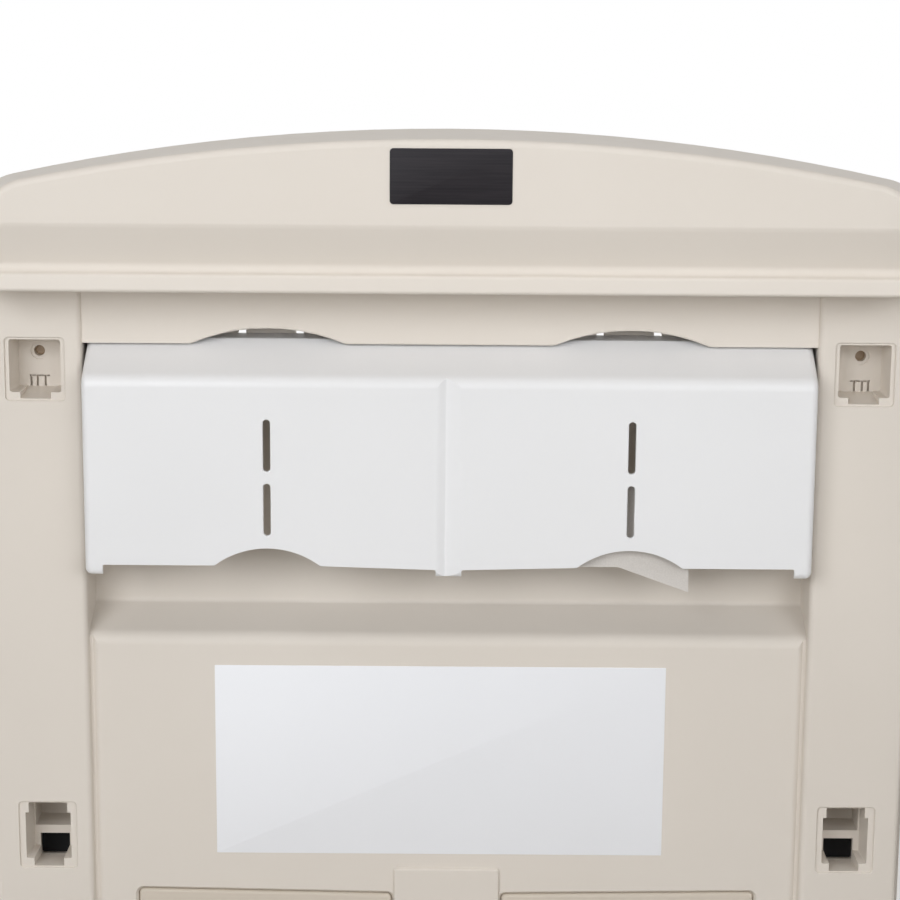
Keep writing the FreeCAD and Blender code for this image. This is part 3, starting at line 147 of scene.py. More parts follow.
tree.links.new(dim.outputs[0], choose.inputs[1])
tree.links.new(white.outputs[0], choose.inputs[2])
tree.links.new(choose.outputs[0], out.inputs["Surface"])
print("surround", SURROUND_LIGHT)

# %% [markdown]
# The light in the photograph is soft and comes from the front, a little above the unit and
# mostly from the left: pocket walls that face right are bright, walls that face left are
# brown, and the hood throws only a narrow shade.  A large key lamp on the left of the camera
# does that, a narrow fill lamp on its right reaches into the pockets, and a third lights the
# right side.  Their powers started from a least-squares fit to the brightness of plain areas
# and were then trimmed.  One lamp hangs above for the hood's arched top, and the last stands
# behind the wall line and only shows the back of the unit.  Point lamps would be simpler,
# but their shades have hard edges.  The lamps are a touch cool and the surround is warm,
# which leaves lit faces about as they are and makes the shades a little browner, nearer to
# the photograph.

# %% Lamps
LAMP_TINT = (0.975, 1.0, 1.035)


def panel_lamp(name, place, aim, size, beam, power):
    """Square area lamp that points at a place on the object; beam is its full angle."""
    bpy.ops.object.light_add(type="AREA", location=place)
    lamp = bpy.context.object
    lamp.name = name
    lamp.data.size = size
    lamp.data.spread = math.radians(beam)
    lamp.data.energy = power
    lamp.data.color = LAMP_TINT
    lamp.rotation_euler = (Vector(aim) - Vector(place)).to_track_quat("-Z", "Y").to_euler()
    print(name, "power", power)


panel_lamp("key_lamp", (-0.8, -1.6, 0.9), (0.0, 0.0, 0.3), size=1.0, beam=180.0, power=16.0)
panel_lamp("fill_lamp", (0.7, -1.5, 0.85), (0.05, 0.0, 0.40), size=0.7, beam=60.0, power=0.90)
panel_lamp("right_lamp", (1.1, -1.1, 0.75), (0.0, 0.0, 0.35), size=0.6, beam=100.0, power=0.75)
panel_lamp("top_lamp", (0.0, -0.5, 1.7), (0.0, -0.05, 0.5), size=0.6, beam=120.0, power=1.3)
panel_lamp("back_lamp", (0.0, 2.2, 0.15), (0.0, 0.0, 0.0), size=0.5, beam=120.0, power=5.0)

# %% [markdown]
# All finishes are grown from noise and wave patterns on object coordinates, so they need no
# pictures and keep their scale in metres.  A few small helpers keep each finish short: one
# for a new material, one for noise, one that turns a pattern into a colour, one into a
# number, and one that presses a pattern into the surface.

# %% Helpers for finishes
def fresh(name):
    """New node material with its tree, its shader and its object coordinates."""
    material = bpy.data.materials.new(name)
    material.use_nodes = True
    tree = material.node_tree
    place = tree.nodes.new("ShaderNodeTexCoord").outputs["Object"]
    return material, tree, tree.nodes["Principled BSDF"], place


def noise(tree, place, per_metre, detail=2.0):
    """Soft noise with about this many grains to the metre."""
    node = tree.nodes.new("ShaderNodeTexNoise")
    node.inputs["Scale"].default_value = per_metre
    node.inputs["Detail"].default_value = detail
    tree.links.new(place, node.inputs["Vector"])
    return node.outputs["Fac"]


def tint(tree, pattern, shader, dark, light, ends=(0.3, 0.7)):
    """Base colour that runs from dark to light with a pattern."""
    ramp = tree.nodes.new("ShaderNodeValToRGB")
    for stop, at, colour in zip(ramp.color_ramp.elements, ends, (dark, light)):
        stop.position = at
        stop.color = (*colour, 1.0)
    tree.links.new(pattern, ramp.inputs["Fac"])
    tree.links.new(ramp.outputs["Color"], shader.inputs["Base Color"])


def spread(tree, pattern, socket, low, high):
    """Number on a shader socket that runs from low to high with a pattern."""
    node = tree.nodes.new("ShaderNodeMapRange")
    node.inputs["To Min"].default_value = low
    node.inputs["To Max"].default_value = high
    tree.links.new(pattern, node.inputs["Value"])
    tree.links.new(node.outputs["Result"], socket)


def emboss(tree, pattern, shader, strength, deep):
    """Press a pattern into the surface; deep is its height in metres."""
    node = tree.nodes.new("ShaderNodeBump")
    node.inputs["Strength"].default_value = strength
    node.inputs["Distance"].default_value = deep
    tree.links.new(pattern, node.inputs["Height"])
    tree.links.new(node.outputs["Normal"], shader.inputs["Normal"])


print("helpers ready")

# %% [markdown]
# The panel, the hood and the bed are moulded in a warm off-white polyethylene.  The tool is
# blasted, so the skin has a very fine stipple and a satin gloss, and thick moulding leaves
# slow, cloudy changes of tone.  One plain colour would do from afar; close up it looks dead,
# so three noises of different size give all three.

# %% Beige mouldings
CLOUDS, PATCHES, STIPPLES = 7.0, 60.0, 1500.0
GLOSS_SWING = 0.05
STIPPLE_HEIGHT = 0.0001
SATIN_SHINE = 0.2


def moulding(name, dark, light, gloss, stipple, shine=0.5):
    """Moulded plastic with cloudy tone, patchy gloss and a fine stipple."""
    material, tree, shader, place = fresh(name)
    shader.inputs["Specular IOR Level"].default_value = shine
    tint(tree, noise(tree, place, CLOUDS, 3.0), shader, dark, light)
    spread(tree, noise(tree, place, PATCHES), shader.inputs["Roughness"],
           gloss - GLOSS_SWING, gloss + GLOSS_SWING)
    emboss(tree, noise(tree, place, STIPPLES, 1.0), shader, stipple, STIPPLE_HEIGHT)
    print(name, "roughness about", gloss)
    return material


panel_beige = moulding("beige_panel_moulding", (0.748, 0.691, 0.621), (0.766, 0.710, 0.641),
                       gloss=0.42, stipple=0.25, shine=SATIN_SHINE)
bed_beige = moulding("beige_bed_moulding", (0.744, 0.687, 0.616), (0.768, 0.712, 0.642),
                     gloss=0.46, stipple=0.30, shine=SATIN_SHINE)
bin_beige = moulding("beige_bin_moulding", (0.66, 0.59, 0.50), (0.68, 0.61, 0.52),
                     gloss=0.40, stipple=0.15, shine=SATIN_SHINE)

# %% [markdown]
# The dispenser is a white moulding from a polished tool: cooler, smoother and a little
# glossier than the panel.  The label place is a bare white film with a faint paper tooth.
# Only numbers differ, so the same function makes both.  The badge place is a bare dark plate
# with a fine brushed grain, which a noise gives once its coordinates are stretched.

# %% White moulding and bare plates
def stretched(tree, place, stretch):
    """Object coordinates scaled along each axis."""
    mapping = tree.nodes.new("ShaderNodeMapping")
    mapping.inputs["Scale"].default_value = stretch
    tree.links.new(place, mapping.inputs["Vector"])
    return mapping.outputs["Vector"]


dispenser_white = moulding("white_dispenser_moulding", (0.836, 0.838, 0.844),
                           (0.854, 0.856, 0.862), gloss=0.36, stipple=0.10)
label_white = moulding("bare_label_film", (0.895, 0.906, 0.934), (0.913, 0.924, 0.952),
                       gloss=0.60, stipple=0.05)

badge_dark, tree, shader, place = fresh("bare_badge_plate")
grain = noise(tree, stretched(tree, place, (30.0, 900.0, 900.0)), 1.0, 3.0)
tint(tree, grain, shader, (0.012, 0.010, 0.013), (0.022, 0.019, 0.022))
spread(tree, grain, shader.inputs["Roughness"], 0.45, 0.60)
shader.inputs["Specular IOR Level"].default_value = SATIN_SHINE
emboss(tree, grain, shader, strength=0.15, deep=0.00005)
print("plates ready")

# %% [markdown]
# Steel inside the unit comes in two finishes.  Pressed parts are zinc plated, with a dull
# crystal spangle that Voronoi cells give, and turned parts are bright, with fine rings and
# scratches from the lathe that a stretched noise gives.  Pictures of metal could show both,
# but they would have to be unwrapped onto every piece.

# %% Zinc and bright steel
zinc, tree, shader, place = fresh("zinc_plated_steel")
cells = tree.nodes.new("ShaderNodeTexVoronoi")
cells.inputs["Scale"].default_value = 160.0
tree.links.new(place, cells.inputs["Vector"])
spangle = cells.outputs["Distance"]
shader.inputs["Metallic"].default_value = 1.0
tint(tree, spangle, shader, (0.50, 0.51, 0.52), (0.64, 0.65, 0.66), (0.0, 0.8))
spread(tree, spangle, shader.inputs["Roughness"], 0.32, 0.48)
emboss(tree, noise(tree, place, 700.0), shader, strength=0.1, deep=0.0001)

bright, tree, shader, place = fresh("bright_turned_steel")
rings = noise(tree, stretched(tree, place, (2500.0, 300.0, 300.0)), 1.0, 2.0)
shader.inputs["Metallic"].default_value = 1.0
tint(tree, rings, shader, (0.58, 0.58, 0.59), (0.70, 0.70, 0.71))
spread(tree, rings, shader.inputs["Roughness"], 0.18, 0.32)
emboss(tree, rings, shader, strength=0.12, deep=0.00004)
print("steel ready")

# %% [markdown]
# The small plastic and rubber parts: nylon bushes in a milky tone, rough black dampers of
# glass-filled plastic, a glossy black buckle, and dull rubber bumpers.  They differ in
# colour, gloss and stipple alone, so the function for mouldings makes them all.

# %% Nylon, dampers, buckle and rubber
nylon = moulding("natural_nylon", (0.70, 0.68, 0.60), (0.76, 0.74, 0.67),
                 gloss=0.42, stipple=0.10)
damper_black = moulding("glass_filled_black", (0.018, 0.018, 0.020), (0.040, 0.040, 0.043),
                        gloss=0.52, stipple=0.35)
buckle_black = moulding("glossy_black_acetal", (0.012, 0.012, 0.013), (0.020, 0.020, 0.021),
                        gloss=0.24, stipple=0.08)
bumper_grey = moulding("dull_rubber", (0.010, 0.010, 0.011), (0.018, 0.018, 0.019),
                       gloss=0.85, stipple=0.55)

# %% [markdown]
# Webbing is woven: ribs run across the strap and fine yarns along it.  Yarns modelled one by
# one would cost far too many faces.  Two wave patterns multiplied give the little raised
# crossings instead, and a soft noise keeps the yarns from looking printed.

# %% Woven webbing
RADIANS_A_UNIT = 20.0
RIB_LENGTH, YARN_LENGTH = 0.0018, 0.0014


def waves(tree, place, direction, length):
    """Sine bands along one axis with this wavelength; the node has a fixed factor of its own."""
    node = tree.nodes.new("ShaderNodeTexWave")
    node.bands_direction = direction
    node.inputs["Scale"].default_value = 2.0 * math.pi / (RADIANS_A_UNIT * length)
    tree.links.new(place, node.inputs["Vector"])
    return node.outputs["Fac"]


def combine(tree, operation, first, second):
    """Two patterns joined by one arithmetic operation."""
    node = tree.nodes.new("ShaderNodeMath")
    node.operation = operation
    tree.links.new(first, node.inputs[0])
    tree.links.new(second, node.inputs[1])
    return node.outputs["Value"]


webbing, tree, shader, place = fresh("woven_webbing")
weave = combine(tree, "MULTIPLY", waves(tree, place, "X", RIB_LENGTH),
                waves(tree, place, "Y", YARN_LENGTH))
fuzz = noise(tree, place, 900.0, 3.0)
yarns = combine(tree, "ADD", weave, fuzz)
tint(tree, yarns, shader, (0.012, 0.012, 0.014), (0.055, 0.055, 0.062), (0.35, 1.1))
shader.inputs["Roughness"].default_value = 0.85
shader.inputs["Sheen Weight"].default_value = 0.3
emboss(tree, weave, shader, strength=0.8, deep=0.0004)
thread = moulding("sewing_thread", (0.05, 0.05, 0.055), (0.09, 0.09, 0.095),
                  gloss=0.7, stipple=0.4)

# %% [markdown]
# Every CAD piece takes the finish of its record slot.  The mesh stays as it is: only the
# material in its slot changes.

# %% Finish the CAD pieces
FINISH = {
    "panel_plastic": panel_beige, "bed_plastic": bed_beige, "bin_plastic": bin_beige,
    "white_plastic": dispenser_white, "zinc_steel": zinc, "bright_steel": bright, "nylon": nylon,
    "damper_plastic": damper_black, "webbing": webbing, "buckle_plastic": buckle_black,
    "bumper_rubber": bumper_grey,
}
for part in frame["record"]["subparts"]:
    NODES[part["node"]].material_slots[0].material = FINISH[part["material_slot"]]

# %% [markdown]
# The rest is modelled by hand, with Blender's own edit-mode tools.  Three helpers keep that
# short: one selects faces, edges or corners by where they are and which way they point, one
# starts a piece from a primitive, and one names and finishes a piece and hands it to a body.

# %% Helpers for modelling
SMOOTH_ANGLE = math.radians(35.0)


def pick(piece, kind, test):
    """Select, in edit mode, the faces, edges or corners whose place and direction pass a test."""
    bpy.ops.object.mode_set(mode="EDIT")
    bpy.ops.mesh.select_mode(type=kind)
    bpy.ops.mesh.select_all(action="DESELECT")
    bpy.ops.object.mode_set(mode="OBJECT")
    mesh = piece.data
    if kind == "FACE":
        for face in mesh.polygons:
            face.select = test(face.center, face.normal)
    elif kind == "VERT":
        for corner in mesh.vertices:
            corner.select = test(corner.co, corner.normal)
    else:
        for edge in mesh.edges:
            start, end = (mesh.vertices[i].co for i in edge.vertices)
            edge.select = test((start + end) / 2.0, (end - start).normalized())
    bpy.ops.object.mode_set(mode="EDIT")


def start_from(shape, **settings):
    """Deselect everything and add a primitive with its place and scale in its mesh."""
    bpy.ops.object.select_all(action="DESELECT")
    scale = settings.pop("stretch", (1.0, 1.0, 1.0))
    getattr(bpy.ops.mesh, "primitive_" + shape + "_add")(**settings)
    piece = bpy.context.object
    piece.scale = scale
    bpy.ops.object.transform_apply(location=True, rotation=True, scale=True)
    return piece


def settle(piece, name, body, finish):
    """Name and finish a piece, smooth it and let it ride on its body."""
    if piece.mode == "EDIT":
        bpy.ops.object.mode_set(mode="OBJECT")
    bpy.ops.object.select_all(action="DESELECT")
    piece.select_set(True)
    bpy.context.view_layer.objects.active = piece
    bpy.ops.object.shade_smooth_by_angle(angle=SMOOTH_ANGLE)
    piece.name = piece.data.name = name
    piece.data.materials.clear()
    piece.data.materials.append(finish)
    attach(piece, body)
    print(name, len(piece.data.polygons), "faces")


print("modelling helpers ready")

# %% [markdown]
# Two thin plates sit on the mouldings: a white film below the dispenser and a dark plate in
# the middle of the hood.  Both stay bare.  Each is a cube scaled flat whose short edges are
# bevelled into round corners, and whose front rim gets a second, tiny bevel to catch light.
# A plane with a Solidify modifier would do as well, but a cube's edges are easy to pick.

# %% Bare label film and bare badge plate
NEAR = 1e-6
MOSTLY = 0.9
SINK = 0.0001
RIM_SHARE = 0.4


def thin_plate(name, x_range, z_range, face_y, thick, corner_r, finish):
    """Flat plate on a face that looks to -Y, sunk a hair into it."""
    middle = (sum(x_range) / 2, face_y - thick / 2 + SINK / 2, sum(z_range) / 2)
    size = (x_range[1] - x_range[0], thick + SINK, z_range[1] - z_range[0])
    plate = start_from("cube", size=1.0, location=middle, stretch=size)
    pick(plate, "EDGE", lambda middle, along: abs(along.y) > MOSTLY)
    bpy.ops.mesh.bevel(offset=corner_r, segments=6, affect="EDGES")
    front = face_y - thick
    pick(plate, "EDGE", lambda middle, along: abs(middle.y - front) < NEAR)
    bpy.ops.mesh.bevel(offset=thick * RIM_SHARE, segments=2, affect="EDGES")
    settle(plate, name, "panel", finish)


PANEL_FIELD_Y = -0.0485
HOOD_FACE_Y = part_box("hood")[0][1]
thin_plate("label_film", (-0.1400, 0.1310), (0.0930, 0.2120), PANEL_FIELD_Y,
           thick=0.0003, corner_r=0.0005, finish=label_white)
thin_plate("badge_plate", (-0.0340, 0.0340), (0.4938, 0.5247), HOOD_FACE_Y,
           thick=0.0006, corner_r=0.0020, finish=badge_dark)

# %% [markdown]
# The safety belt is flat webbing.  A curve with a flat bevel could follow its route; here a
# narrow plane is the start, its leading edge is extruded along the route, and two modifiers
# then give the sheet its thickness and round its edges, which leaves clean, even faces.  The
# belt's size and place come from the boxes of the plain CAD straps.

# %% Helpers for webbing
BELT_THICK = 0.0015
BELT_EDGE_R, SHARP_ANGLE = 0.0004, math.radians(60)
TURN_STEPS = 4
belt_low, belt_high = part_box("belt_strap_left")
BELT_Y = (belt_low[1] + belt_high[1]) / 2
BELT_WIDTH = belt_high[1] - belt_low[1]
LYING_Z = belt_high[2] - BELT_THICK / 2
UNDER_Z = belt_low[2] + BELT_THICK / 2
KEEPER_X = -belt_low[0]
BUCKLE_X = -belt_high[0]


def add_modifier(piece, kind, **settings):
    """Add a modifier, set it and apply it."""
    bpy.ops.object.mode_set(mode="OBJECT")
    modifier = piece.modifiers.new(kind.lower(), kind)
    for key, value in settings.items():
        setattr(modifier, key, value)
    bpy.ops.object.modifier_apply(modifier=modifier.name)


def strap_sheet(side, route):
    """Sheet along a route of (x, z) points on one side, made by extruding an edge."""
    (x0, z0), (x1, _) = route[:2]
    piece = start_from("plane", size=1.0, stretch=(abs(x1 - x0), BELT_WIDTH, 1.0),
                       location=(side * (x0 + x1) / 2, BELT_Y, z0))
    pick(piece, "EDGE",
         lambda middle, along: abs(middle.x - side * x1) < NEAR and abs(along.y) > MOSTLY)
    for (ax, az), (bx, bz) in zip(route[1:], route[2:]):
        step = (side * (bx - ax), 0.0, bz - az)
        bpy.ops.mesh.extrude_region_move(TRANSFORM_OT_translate={"value": step})
    return piece


def bend(corner, start, end):
    """Points of a soft turn from start to end round a corner."""
    points = []
    for i in range(TURN_STEPS + 1):
        t = i / TURN_STEPS
        pulls = list(zip(((1 - t) ** 2, 2 * t * (1 - t), t ** 2), (start, corner, end)))
        points.append(tuple(sum(weight * spot[k] for weight, spot in pulls) for k in (0, 1)))
    return points


def thicken(piece):
    """Give a webbing sheet its thickness, round its edges and turn its faces outwards."""
    add_modifier(piece, "SOLIDIFY", thickness=BELT_THICK, offset=0.0)
    add_modifier(piece, "BEVEL", width=BELT_EDGE_R, segments=2, limit_method="ANGLE",
                 angle_limit=SHARP_ANGLE)
    pick(piece, "FACE", lambda middle, normal: True)
    bpy.ops.mesh.normals_make_consistent(inside=False)


print("webbing", round(BELT_WIDTH, 4), "wide,", BELT_THICK, "thick")

# %% [markdown]
# From a keeper under the bed each strap comes up through a slot, turns and lies along the
# tray's floor to the buckle.  The left one ends at the buckle's frame, and the right one
# climbs a little and runs through it.  Each stands in for its plain CAD solid.

# %% Belt straps
SLOT_X = 0.20475
TURN_R = 0.0018
FOLD_GAP, FOLD_REACH = 0.0008, 0.036
FOLD = (BUCKLE_X + FOLD_GAP, BUCKLE_X + FOLD_REACH)
CLIMB_FOOT, CLIMB_HEAD, TAIL_END = 0.014, 0.0003, 0.009


def strap(name, side, along):
    """Webbing strap: keeper, slot, then its run along the tray's floor."""
    rise = bend((SLOT_X, UNDER_Z), (SLOT_X + TURN_R, UNDER_Z), (SLOT_X, UNDER_Z + TURN_R))
    over = bend((SLOT_X, LYING_Z), (SLOT_X, LYING_Z - TURN_R), (SLOT_X - TURN_R, LYING_Z))
    piece = strap_sheet(side, [(KEEPER_X, UNDER_Z)] + rise + over + along)
    thicken(piece)
    settle(piece, name, "bed", webbing)
    return piece


left_strap = strap("belt_webbing_left", -1.0, [(FOLD[1], LYING_Z), (FOLD[0], LYING_Z)])
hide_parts("belt_strap_left")
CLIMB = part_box("belt_strap_right")[1][2] - belt_high[2]
over_z = LYING_Z + CLIMB
through = [(BUCKLE_X + CLIMB_FOOT, LYING_Z), (BUCKLE_X + CLIMB_HEAD, over_z),
           (-BUCKLE_X + TAIL_END, over_z)]
right_strap = strap("belt_webbing_right", 1.0, through)
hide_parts("belt_strap_right")

# %% [markdown]
# Where the left strap is sewn to the buckle, the webbing is folded back on itself.  The fold
# could be one sheet with a tight bend at the buckle's edge.  Here it is one more short strap
# on top, which is simpler and leaves out only that bend.

# %% Sewn fold
PLY_GAP = 0.0001
LAST_STEP = 0.010
SEWN_Z = LYING_Z + BELT_THICK + PLY_GAP
ply = strap_sheet(-1.0, [(FOLD[1], SEWN_Z), (FOLD[0] + LAST_STEP, SEWN_Z), (FOLD[0], SEWN_Z)])
thicken(ply)
settle(ply, "belt_sewn_fold", "bed", webbing)

# %% [markdown]
# The fold is held by a box of stitches with a cross.  A bump would show them from afar, but
# real thread stands up and catches light.  One stitch is a six-sided bar with its ends drawn
# in; it is modelled once for each row, turned and copied.

# %% Stitches
STITCH = 0.0022
STITCH_GAP = 0.0031
THREAD_R, THREAD_END = 0.00035, 0.0002
BOX_INSET = (0.004, 0.005)


def copies(piece, offsets):
    """Copies of a piece at offsets, each with a mesh of its own, joined with it into one."""
    group = [piece]
    for offset in offsets:
        twin = piece.copy()
        twin.data = piece.data.copy()
        bpy.context.collection.objects.link(twin)
        twin.data.transform(Matrix.Translation(offset))
        group.append(twin)
    bpy.ops.object.select_all(action="DESELECT")
    for one in group:
        one.select_set(True)
    bpy.context.view_layer.objects.active = piece
    bpy.ops.object.join()
    return piece


def stitch_row(start, end):
    """Row of stitches between two (x, y) points on top of the fold."""
    run = Vector((*end, 0.0)) - Vector((*start, 0.0))
    count = max(2, round(run.length / STITCH_GAP))
    bar = start_from("cylinder", vertices=6, radius=THREAD_R, depth=STITCH,
                     rotation=(0.0, math.pi / 2, 0.0))
    pick(bar, "FACE", lambda middle, normal: abs(normal.x) > MOSTLY)
    bpy.ops.mesh.bevel(offset=THREAD_END, segments=1, affect="EDGES")
    bpy.ops.object.mode_set(mode="OBJECT")
    top = SEWN_Z + BELT_THICK / 2
    first = Vector((*start, top)) + run * (0.5 / count)
    aim = Matrix.Rotation(math.atan2(run.y, run.x), 4, "Z")
    bar.data.transform(Matrix.Translation(first) @ aim)
    return copies(bar, [run * (i / count) for i in range(1, count)])


near_x, far_x = -FOLD[0] - BOX_INSET[0], -FOLD[1] + BOX_INSET[0]
low_y, high_y = BELT_Y - BELT_WIDTH / 2 + BOX_INSET[1], BELT_Y + BELT_WIDTH / 2 - BOX_INSET[1]
corners = [(near_x, low_y), (near_x, high_y), (far_x, high_y), (far_x, low_y)]
rows = [stitch_row(a, b) for a, b in zip(corners, corners[1:] + corners[:1])]
rows += [stitch_row(corners[0], corners[2]), stitch_row(corners[1], corners[3])]
bpy.ops.object.select_all(action="DESELECT")
for row in rows:
    row.select_set(True)
bpy.context.view_layer.objects.active = rows[0]
bpy.ops.object.join()
settle(rows[0], "belt_stitches", "bed", thread)

# %% [markdown]
# The buckle's lever has a ribbed thumb end.  One rib is a cube scaled to a bar with its upper
# edges rounded; four of them lie side by side along the lever's slope, and they ride on the
# lever, so they lift with it.  An Array modifier could repeat the rib, but copies along a
# slope are easier to follow.

# %% Thumb ribs on the buckle's lever
cam_low, cam_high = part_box("buckle_cam")
RIB_COUNT = 4
RIB_PITCH = 0.0022
RIB_WIDE, RIB_SHARE, RIB_TALL, RIB_ROUND = 0.0011, 0.86, 0.0010, 0.0004
LEVER_RISE, LEVER_RUN = 0.0046, 0.014
TIP_IN, TIP_DOWN = 0.0030, 0.0038
HARDLY = 0.1
SLOPE = math.atan2(LEVER_RISE, LEVER_RUN)
rib_size = (RIB_WIDE, (cam_high[1] - cam_low[1]) * RIB_SHARE, RIB_TALL)
tip = Vector((cam_low[0] + TIP_IN, BELT_Y, cam_high[2] - TIP_DOWN))
rib = start_from("cube", size=1.0, stretch=rib_size)
pick(rib, "EDGE", lambda middle, along: middle.z > 0.0 and abs(along.z) < HARDLY)
bpy.ops.mesh.bevel(offset=RIB_ROUND, segments=3, affect="EDGES")
bpy.ops.object.mode_set(mode="OBJECT")
rib.data.transform(Matrix.Translation(tip) @ Matrix.Rotation(-SLOPE, 4, "Y"))
climb = Vector((math.cos(SLOPE), 0.0, math.sin(SLOPE))) * RIB_PITCH
copies(rib, [climb * i for i in range(1, RIB_COUNT)])
settle(rib, "buckle_thumb_ribs", "buckle_lever", buckle_black)

# %% [markdown]
# Four screws hold the tray down in its rim.  The head is a short cylinder with a rounded rim;
# the shank is extruded from an inset of the underside, and a cross of two slim boxes is taken
# out of the top for the driver.  The cross could be cut with a knife in the window, but a
# Boolean needs no window.

# %% Tray screws
screw_low, screw_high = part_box("tray_screws")
HEAD_R, SHANK_R = 0.0039, 0.0020
HEAD_T, HEAD_ROUND = 0.0018, 0.0005
CROSS = ((0.0042, 0.0009, 0.0024), (0.0009, 0.0042, 0.0024))
TRAY_SCREWS = ((-0.205, -0.930), (0.205, -0.930), (-0.110, -0.112), (0.110, -0.112))
x, y = TRAY_SCREWS[0]
head = start_from("cylinder", vertices=48, radius=HEAD_R, depth=HEAD_T,
                  location=(x, y, screw_high[2] - HEAD_T / 2))
pick(head, "EDGE", lambda middle, along: abs(middle.z - screw_high[2]) < NEAR)
bpy.ops.mesh.bevel(offset=HEAD_ROUND, segments=3, affect="EDGES")
pick(head, "FACE", lambda middle, normal: normal.z < -MOSTLY)
bpy.ops.mesh.inset(thickness=HEAD_R - SHANK_R)
shank = screw_high[2] - screw_low[2] - HEAD_T
bpy.ops.mesh.extrude_region_move(TRANSFORM_OT_translate={"value": (0.0, 0.0, -shank)})
bpy.ops.object.mode_set(mode="OBJECT")
for size in CROSS:
    slot = start_from("cube", size=1.0, stretch=size, location=(x, y, screw_high[2]))
    bpy.context.view_layer.objects.active = head
    add_modifier(head, "BOOLEAN", object=slot, operation="DIFFERENCE", solver="EXACT")
    bpy.data.objects.remove(slot)
copies(head, [Vector((sx - x, sy - y, 0.0)) for sx, sy in TRAY_SCREWS[1:]])
settle(head, "tray_screw_set", "bed", bright)
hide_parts("tray_screws")

# %% [markdown]
# Six rubber buttons on the rim keep the bed from knocking on the panel.  Each is a short cone
# whose upper edge is bevelled wide, and whose top is inset and pressed in a little, as
# moulded buttons are.  A flattened sphere would be quicker, but it has no flat seat.

# %% Rubber bumpers
bump_low, bump_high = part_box("bed_bumpers")
BUMP_R = (0.0055, 0.0040)
BUMP_ROUND, BUMP_RIM, BUMP_DISH = 0.0009, 0.0012, 0.0003
LEVEL = 0.99
BUMP_Y = (-0.860, -0.560, -0.240)
bump_x = bump_high[0] - BUMP_R[0]
tall = bump_high[2] - bump_low[2]
button = start_from("cone", vertices=40, radius1=BUMP_R[0], radius2=BUMP_R[1], depth=tall,
                    location=(-bump_x, BUMP_Y[0], bump_low[2] + tall / 2))
pick(button, "EDGE", lambda middle, along: abs(middle.z - bump_high[2]) < NEAR)
bpy.ops.mesh.bevel(offset=BUMP_ROUND, segments=4, affect="EDGES")
pick(button, "FACE", lambda middle, normal: normal.z > LEVEL)
bpy.ops.mesh.inset(thickness=BUMP_RIM)
bpy.ops.transform.translate(value=(0.0, 0.0, -BUMP_DISH))
bpy.ops.object.mode_set(mode="OBJECT")
places = [(sx, sy) for sx in (-bump_x, bump_x) for sy in BUMP_Y]
copies(button, [Vector((sx + bump_x, sy - BUMP_Y[0], 0.0)) for sx, sy in places[1:]])
settle(button, "rim_bumpers", "bed", bumper_grey)
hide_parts("bed_bumpers")

# %% [markdown]
# The photograph shows brown discs deep in the upper pockets, where the screw holes are.  They
# are read here as small push-in caps of nylon, which is a guess: open holes in shade would
# look much the same, but here the white studio would shine through them.  The caps' dark tan
# is painted shade, the brown of shade deep in a hole.  The lower pair gets caps too.  One cap
# is made from a cylinder: its face is inset and pushed in, which leaves a raised rim, and the
# rim is bevelled.  A lathe-like spin would work too.

# %% Caps in the screw holes
# Dark tan of the caps: painted shade, the brown of shade deep in a screw hole.
hole_shade_tan = moulding("hole_shade_tan", (0.42, 0.31, 0.21), (0.48, 0.36, 0.25),
                     gloss=0.45, stipple=0.10)
HOLE_X, HOLE_Z = 0.244, 0.3985
CAP_R, CAP_LONG, CAP_Y = 0.00315, 0.006, -0.0175
CAP_RIM, CAP_DISH, CAP_ROUND = 0.0008, 0.0012, 0.0002
HAIR = 1e-5
cap = start_from("cylinder", vertices=32, radius=CAP_R, depth=CAP_LONG,
                 rotation=(math.pi / 2, 0.0, 0.0), location=(-HOLE_X, CAP_Y, HOLE_Z))
pick(cap, "FACE", lambda middle, normal: normal.y < -MOSTLY)
bpy.ops.mesh.inset(thickness=CAP_RIM)
bpy.ops.transform.translate(value=(0.0, CAP_DISH, 0.0))
cap_front = CAP_Y - CAP_LONG / 2
pick(cap, "EDGE", lambda middle, way: middle.y < cap_front + HAIR and abs(way.y) < HARDLY)
bpy.ops.mesh.bevel(offset=CAP_ROUND, segments=2, affect="EDGES")
bpy.ops.object.mode_set(mode="OBJECT")
across, down = 2 * HOLE_X, -2 * HOLE_Z
copies(cap, [(across, 0.0, 0.0), (0.0, 0.0, down), (across, 0.0, down)])
settle(cap, "screw_hole_caps", "panel", hole_shade_tan)

# %% [markdown]
# A corner of the next paper liner hangs out of the right finger notch.  It is a flat grid at
# first.  Its lowest row is tipped forward, which gives the soft fold along the edge, and its
# lower right corner is pulled down with proportional editing, because a straight falloff
# draws the edge out into the slanting line of the photograph.  A cloth simulation would do
# it too, but the hand pull is quicker and always the same.

# %% Corner of a paper liner
liner_paper, tree, shader, place = fresh("tissue_liner_paper")
tooth = noise(tree, place, 1100.0, 4.0)
tint(tree, tooth, shader, (0.60, 0.565, 0.525), (0.66, 0.625, 0.585))
shader.inputs["Roughness"].default_value = 0.75
emboss(tree, tooth, shader, strength=0.3, deep=0.0001)

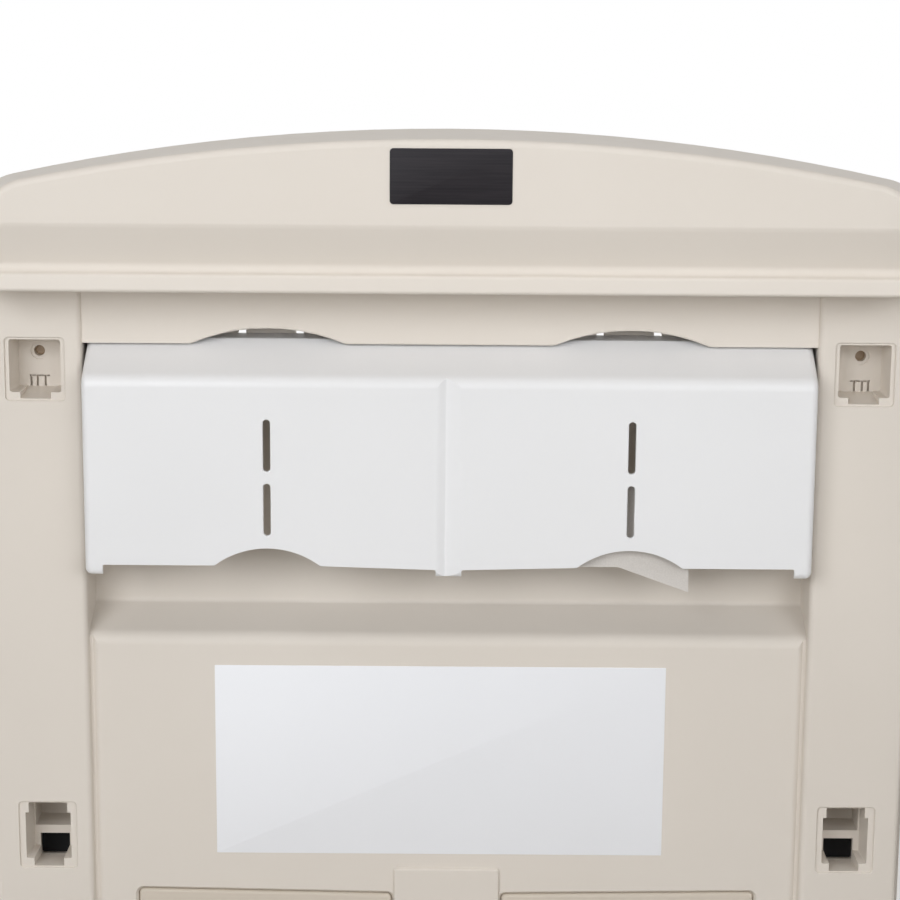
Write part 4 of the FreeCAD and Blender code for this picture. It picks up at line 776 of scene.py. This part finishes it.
PAPER_X = (0.0700, 0.1413)
PAPER_Y = -0.0620
PAPER_Z = (0.2780, 0.3300)
CORNER_PULL = 0.0148
PULL_REACH = 0.0415
FOLD_FORWARD = 0.0012
CORNER_FORWARD = 0.001
wide, tall = PAPER_X[1] - PAPER_X[0], PAPER_Z[1] - PAPER_Z[0]
paper = start_from("grid", x_subdivisions=24, y_subdivisions=18, size=1.0,
                   rotation=(math.pi / 2, 0.0, 0.0), stretch=(wide, tall, 1.0),
                   location=(sum(PAPER_X) / 2, PAPER_Y, sum(PAPER_Z) / 2))
pick(paper, "EDGE", lambda middle, way: middle.z < PAPER_Z[0] + HAIR)
bpy.ops.transform.translate(value=(0.0, -FOLD_FORWARD, 0.0))
pick(paper, "VERT",
     lambda spot, normal: spot.z < PAPER_Z[0] + HAIR and spot.x > PAPER_X[1] - HAIR)
bpy.ops.transform.translate(value=(0.0, -CORNER_FORWARD, -CORNER_PULL),
                            use_proportional_edit=True, proportional_edit_falloff="LINEAR",
                            proportional_size=PULL_REACH)
settle(paper, "liner_paper_corner", "panel", liner_paper)

# %% [markdown]
# Behind each catch sits a coil spring in its sleeve, whose room the CAD holds as a plain
# tube.  A bevelled curve could be wound by a formula; a Screw modifier needs only a small
# circle beside the axis, a number of turns and a pitch, and the open ends are then filled.

# %% Catch springs
WIRE_R, WIRE_SIDES = 0.00035, 10
SPRING_TURNS, STEPS_A_TURN = 6, 24
for side in ("left", "right"):
    low, high = (Vector(corner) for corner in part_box("catch_spring_" + side))
    middle, long = (low + high) / 2, high.y - low.y
    coil_r = (high.x - low.x) / 2 - WIRE_R
    coil = start_from("circle", vertices=WIRE_SIDES, radius=WIRE_R,
                      location=(coil_r, WIRE_R, 0.0))
    add_modifier(coil, "SCREW", axis="Y", steps=STEPS_A_TURN, render_steps=STEPS_A_TURN,
                 iterations=SPRING_TURNS, screw_offset=(long - 2 * WIRE_R) / SPRING_TURNS)
    pick(coil, "FACE", lambda middle, normal: True)
    bpy.ops.mesh.fill_holes(sides=WIRE_SIDES)
    bpy.ops.mesh.select_all(action="SELECT")
    bpy.ops.mesh.normals_make_consistent(inside=False)
    bpy.ops.object.mode_set(mode="OBJECT")
    coil.data.transform(Matrix.Translation((middle.x, low.y, middle.z)))
    settle(coil, "catch_coil_" + side, "bed", bright)
    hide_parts("catch_spring_" + side)
    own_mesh(coil)
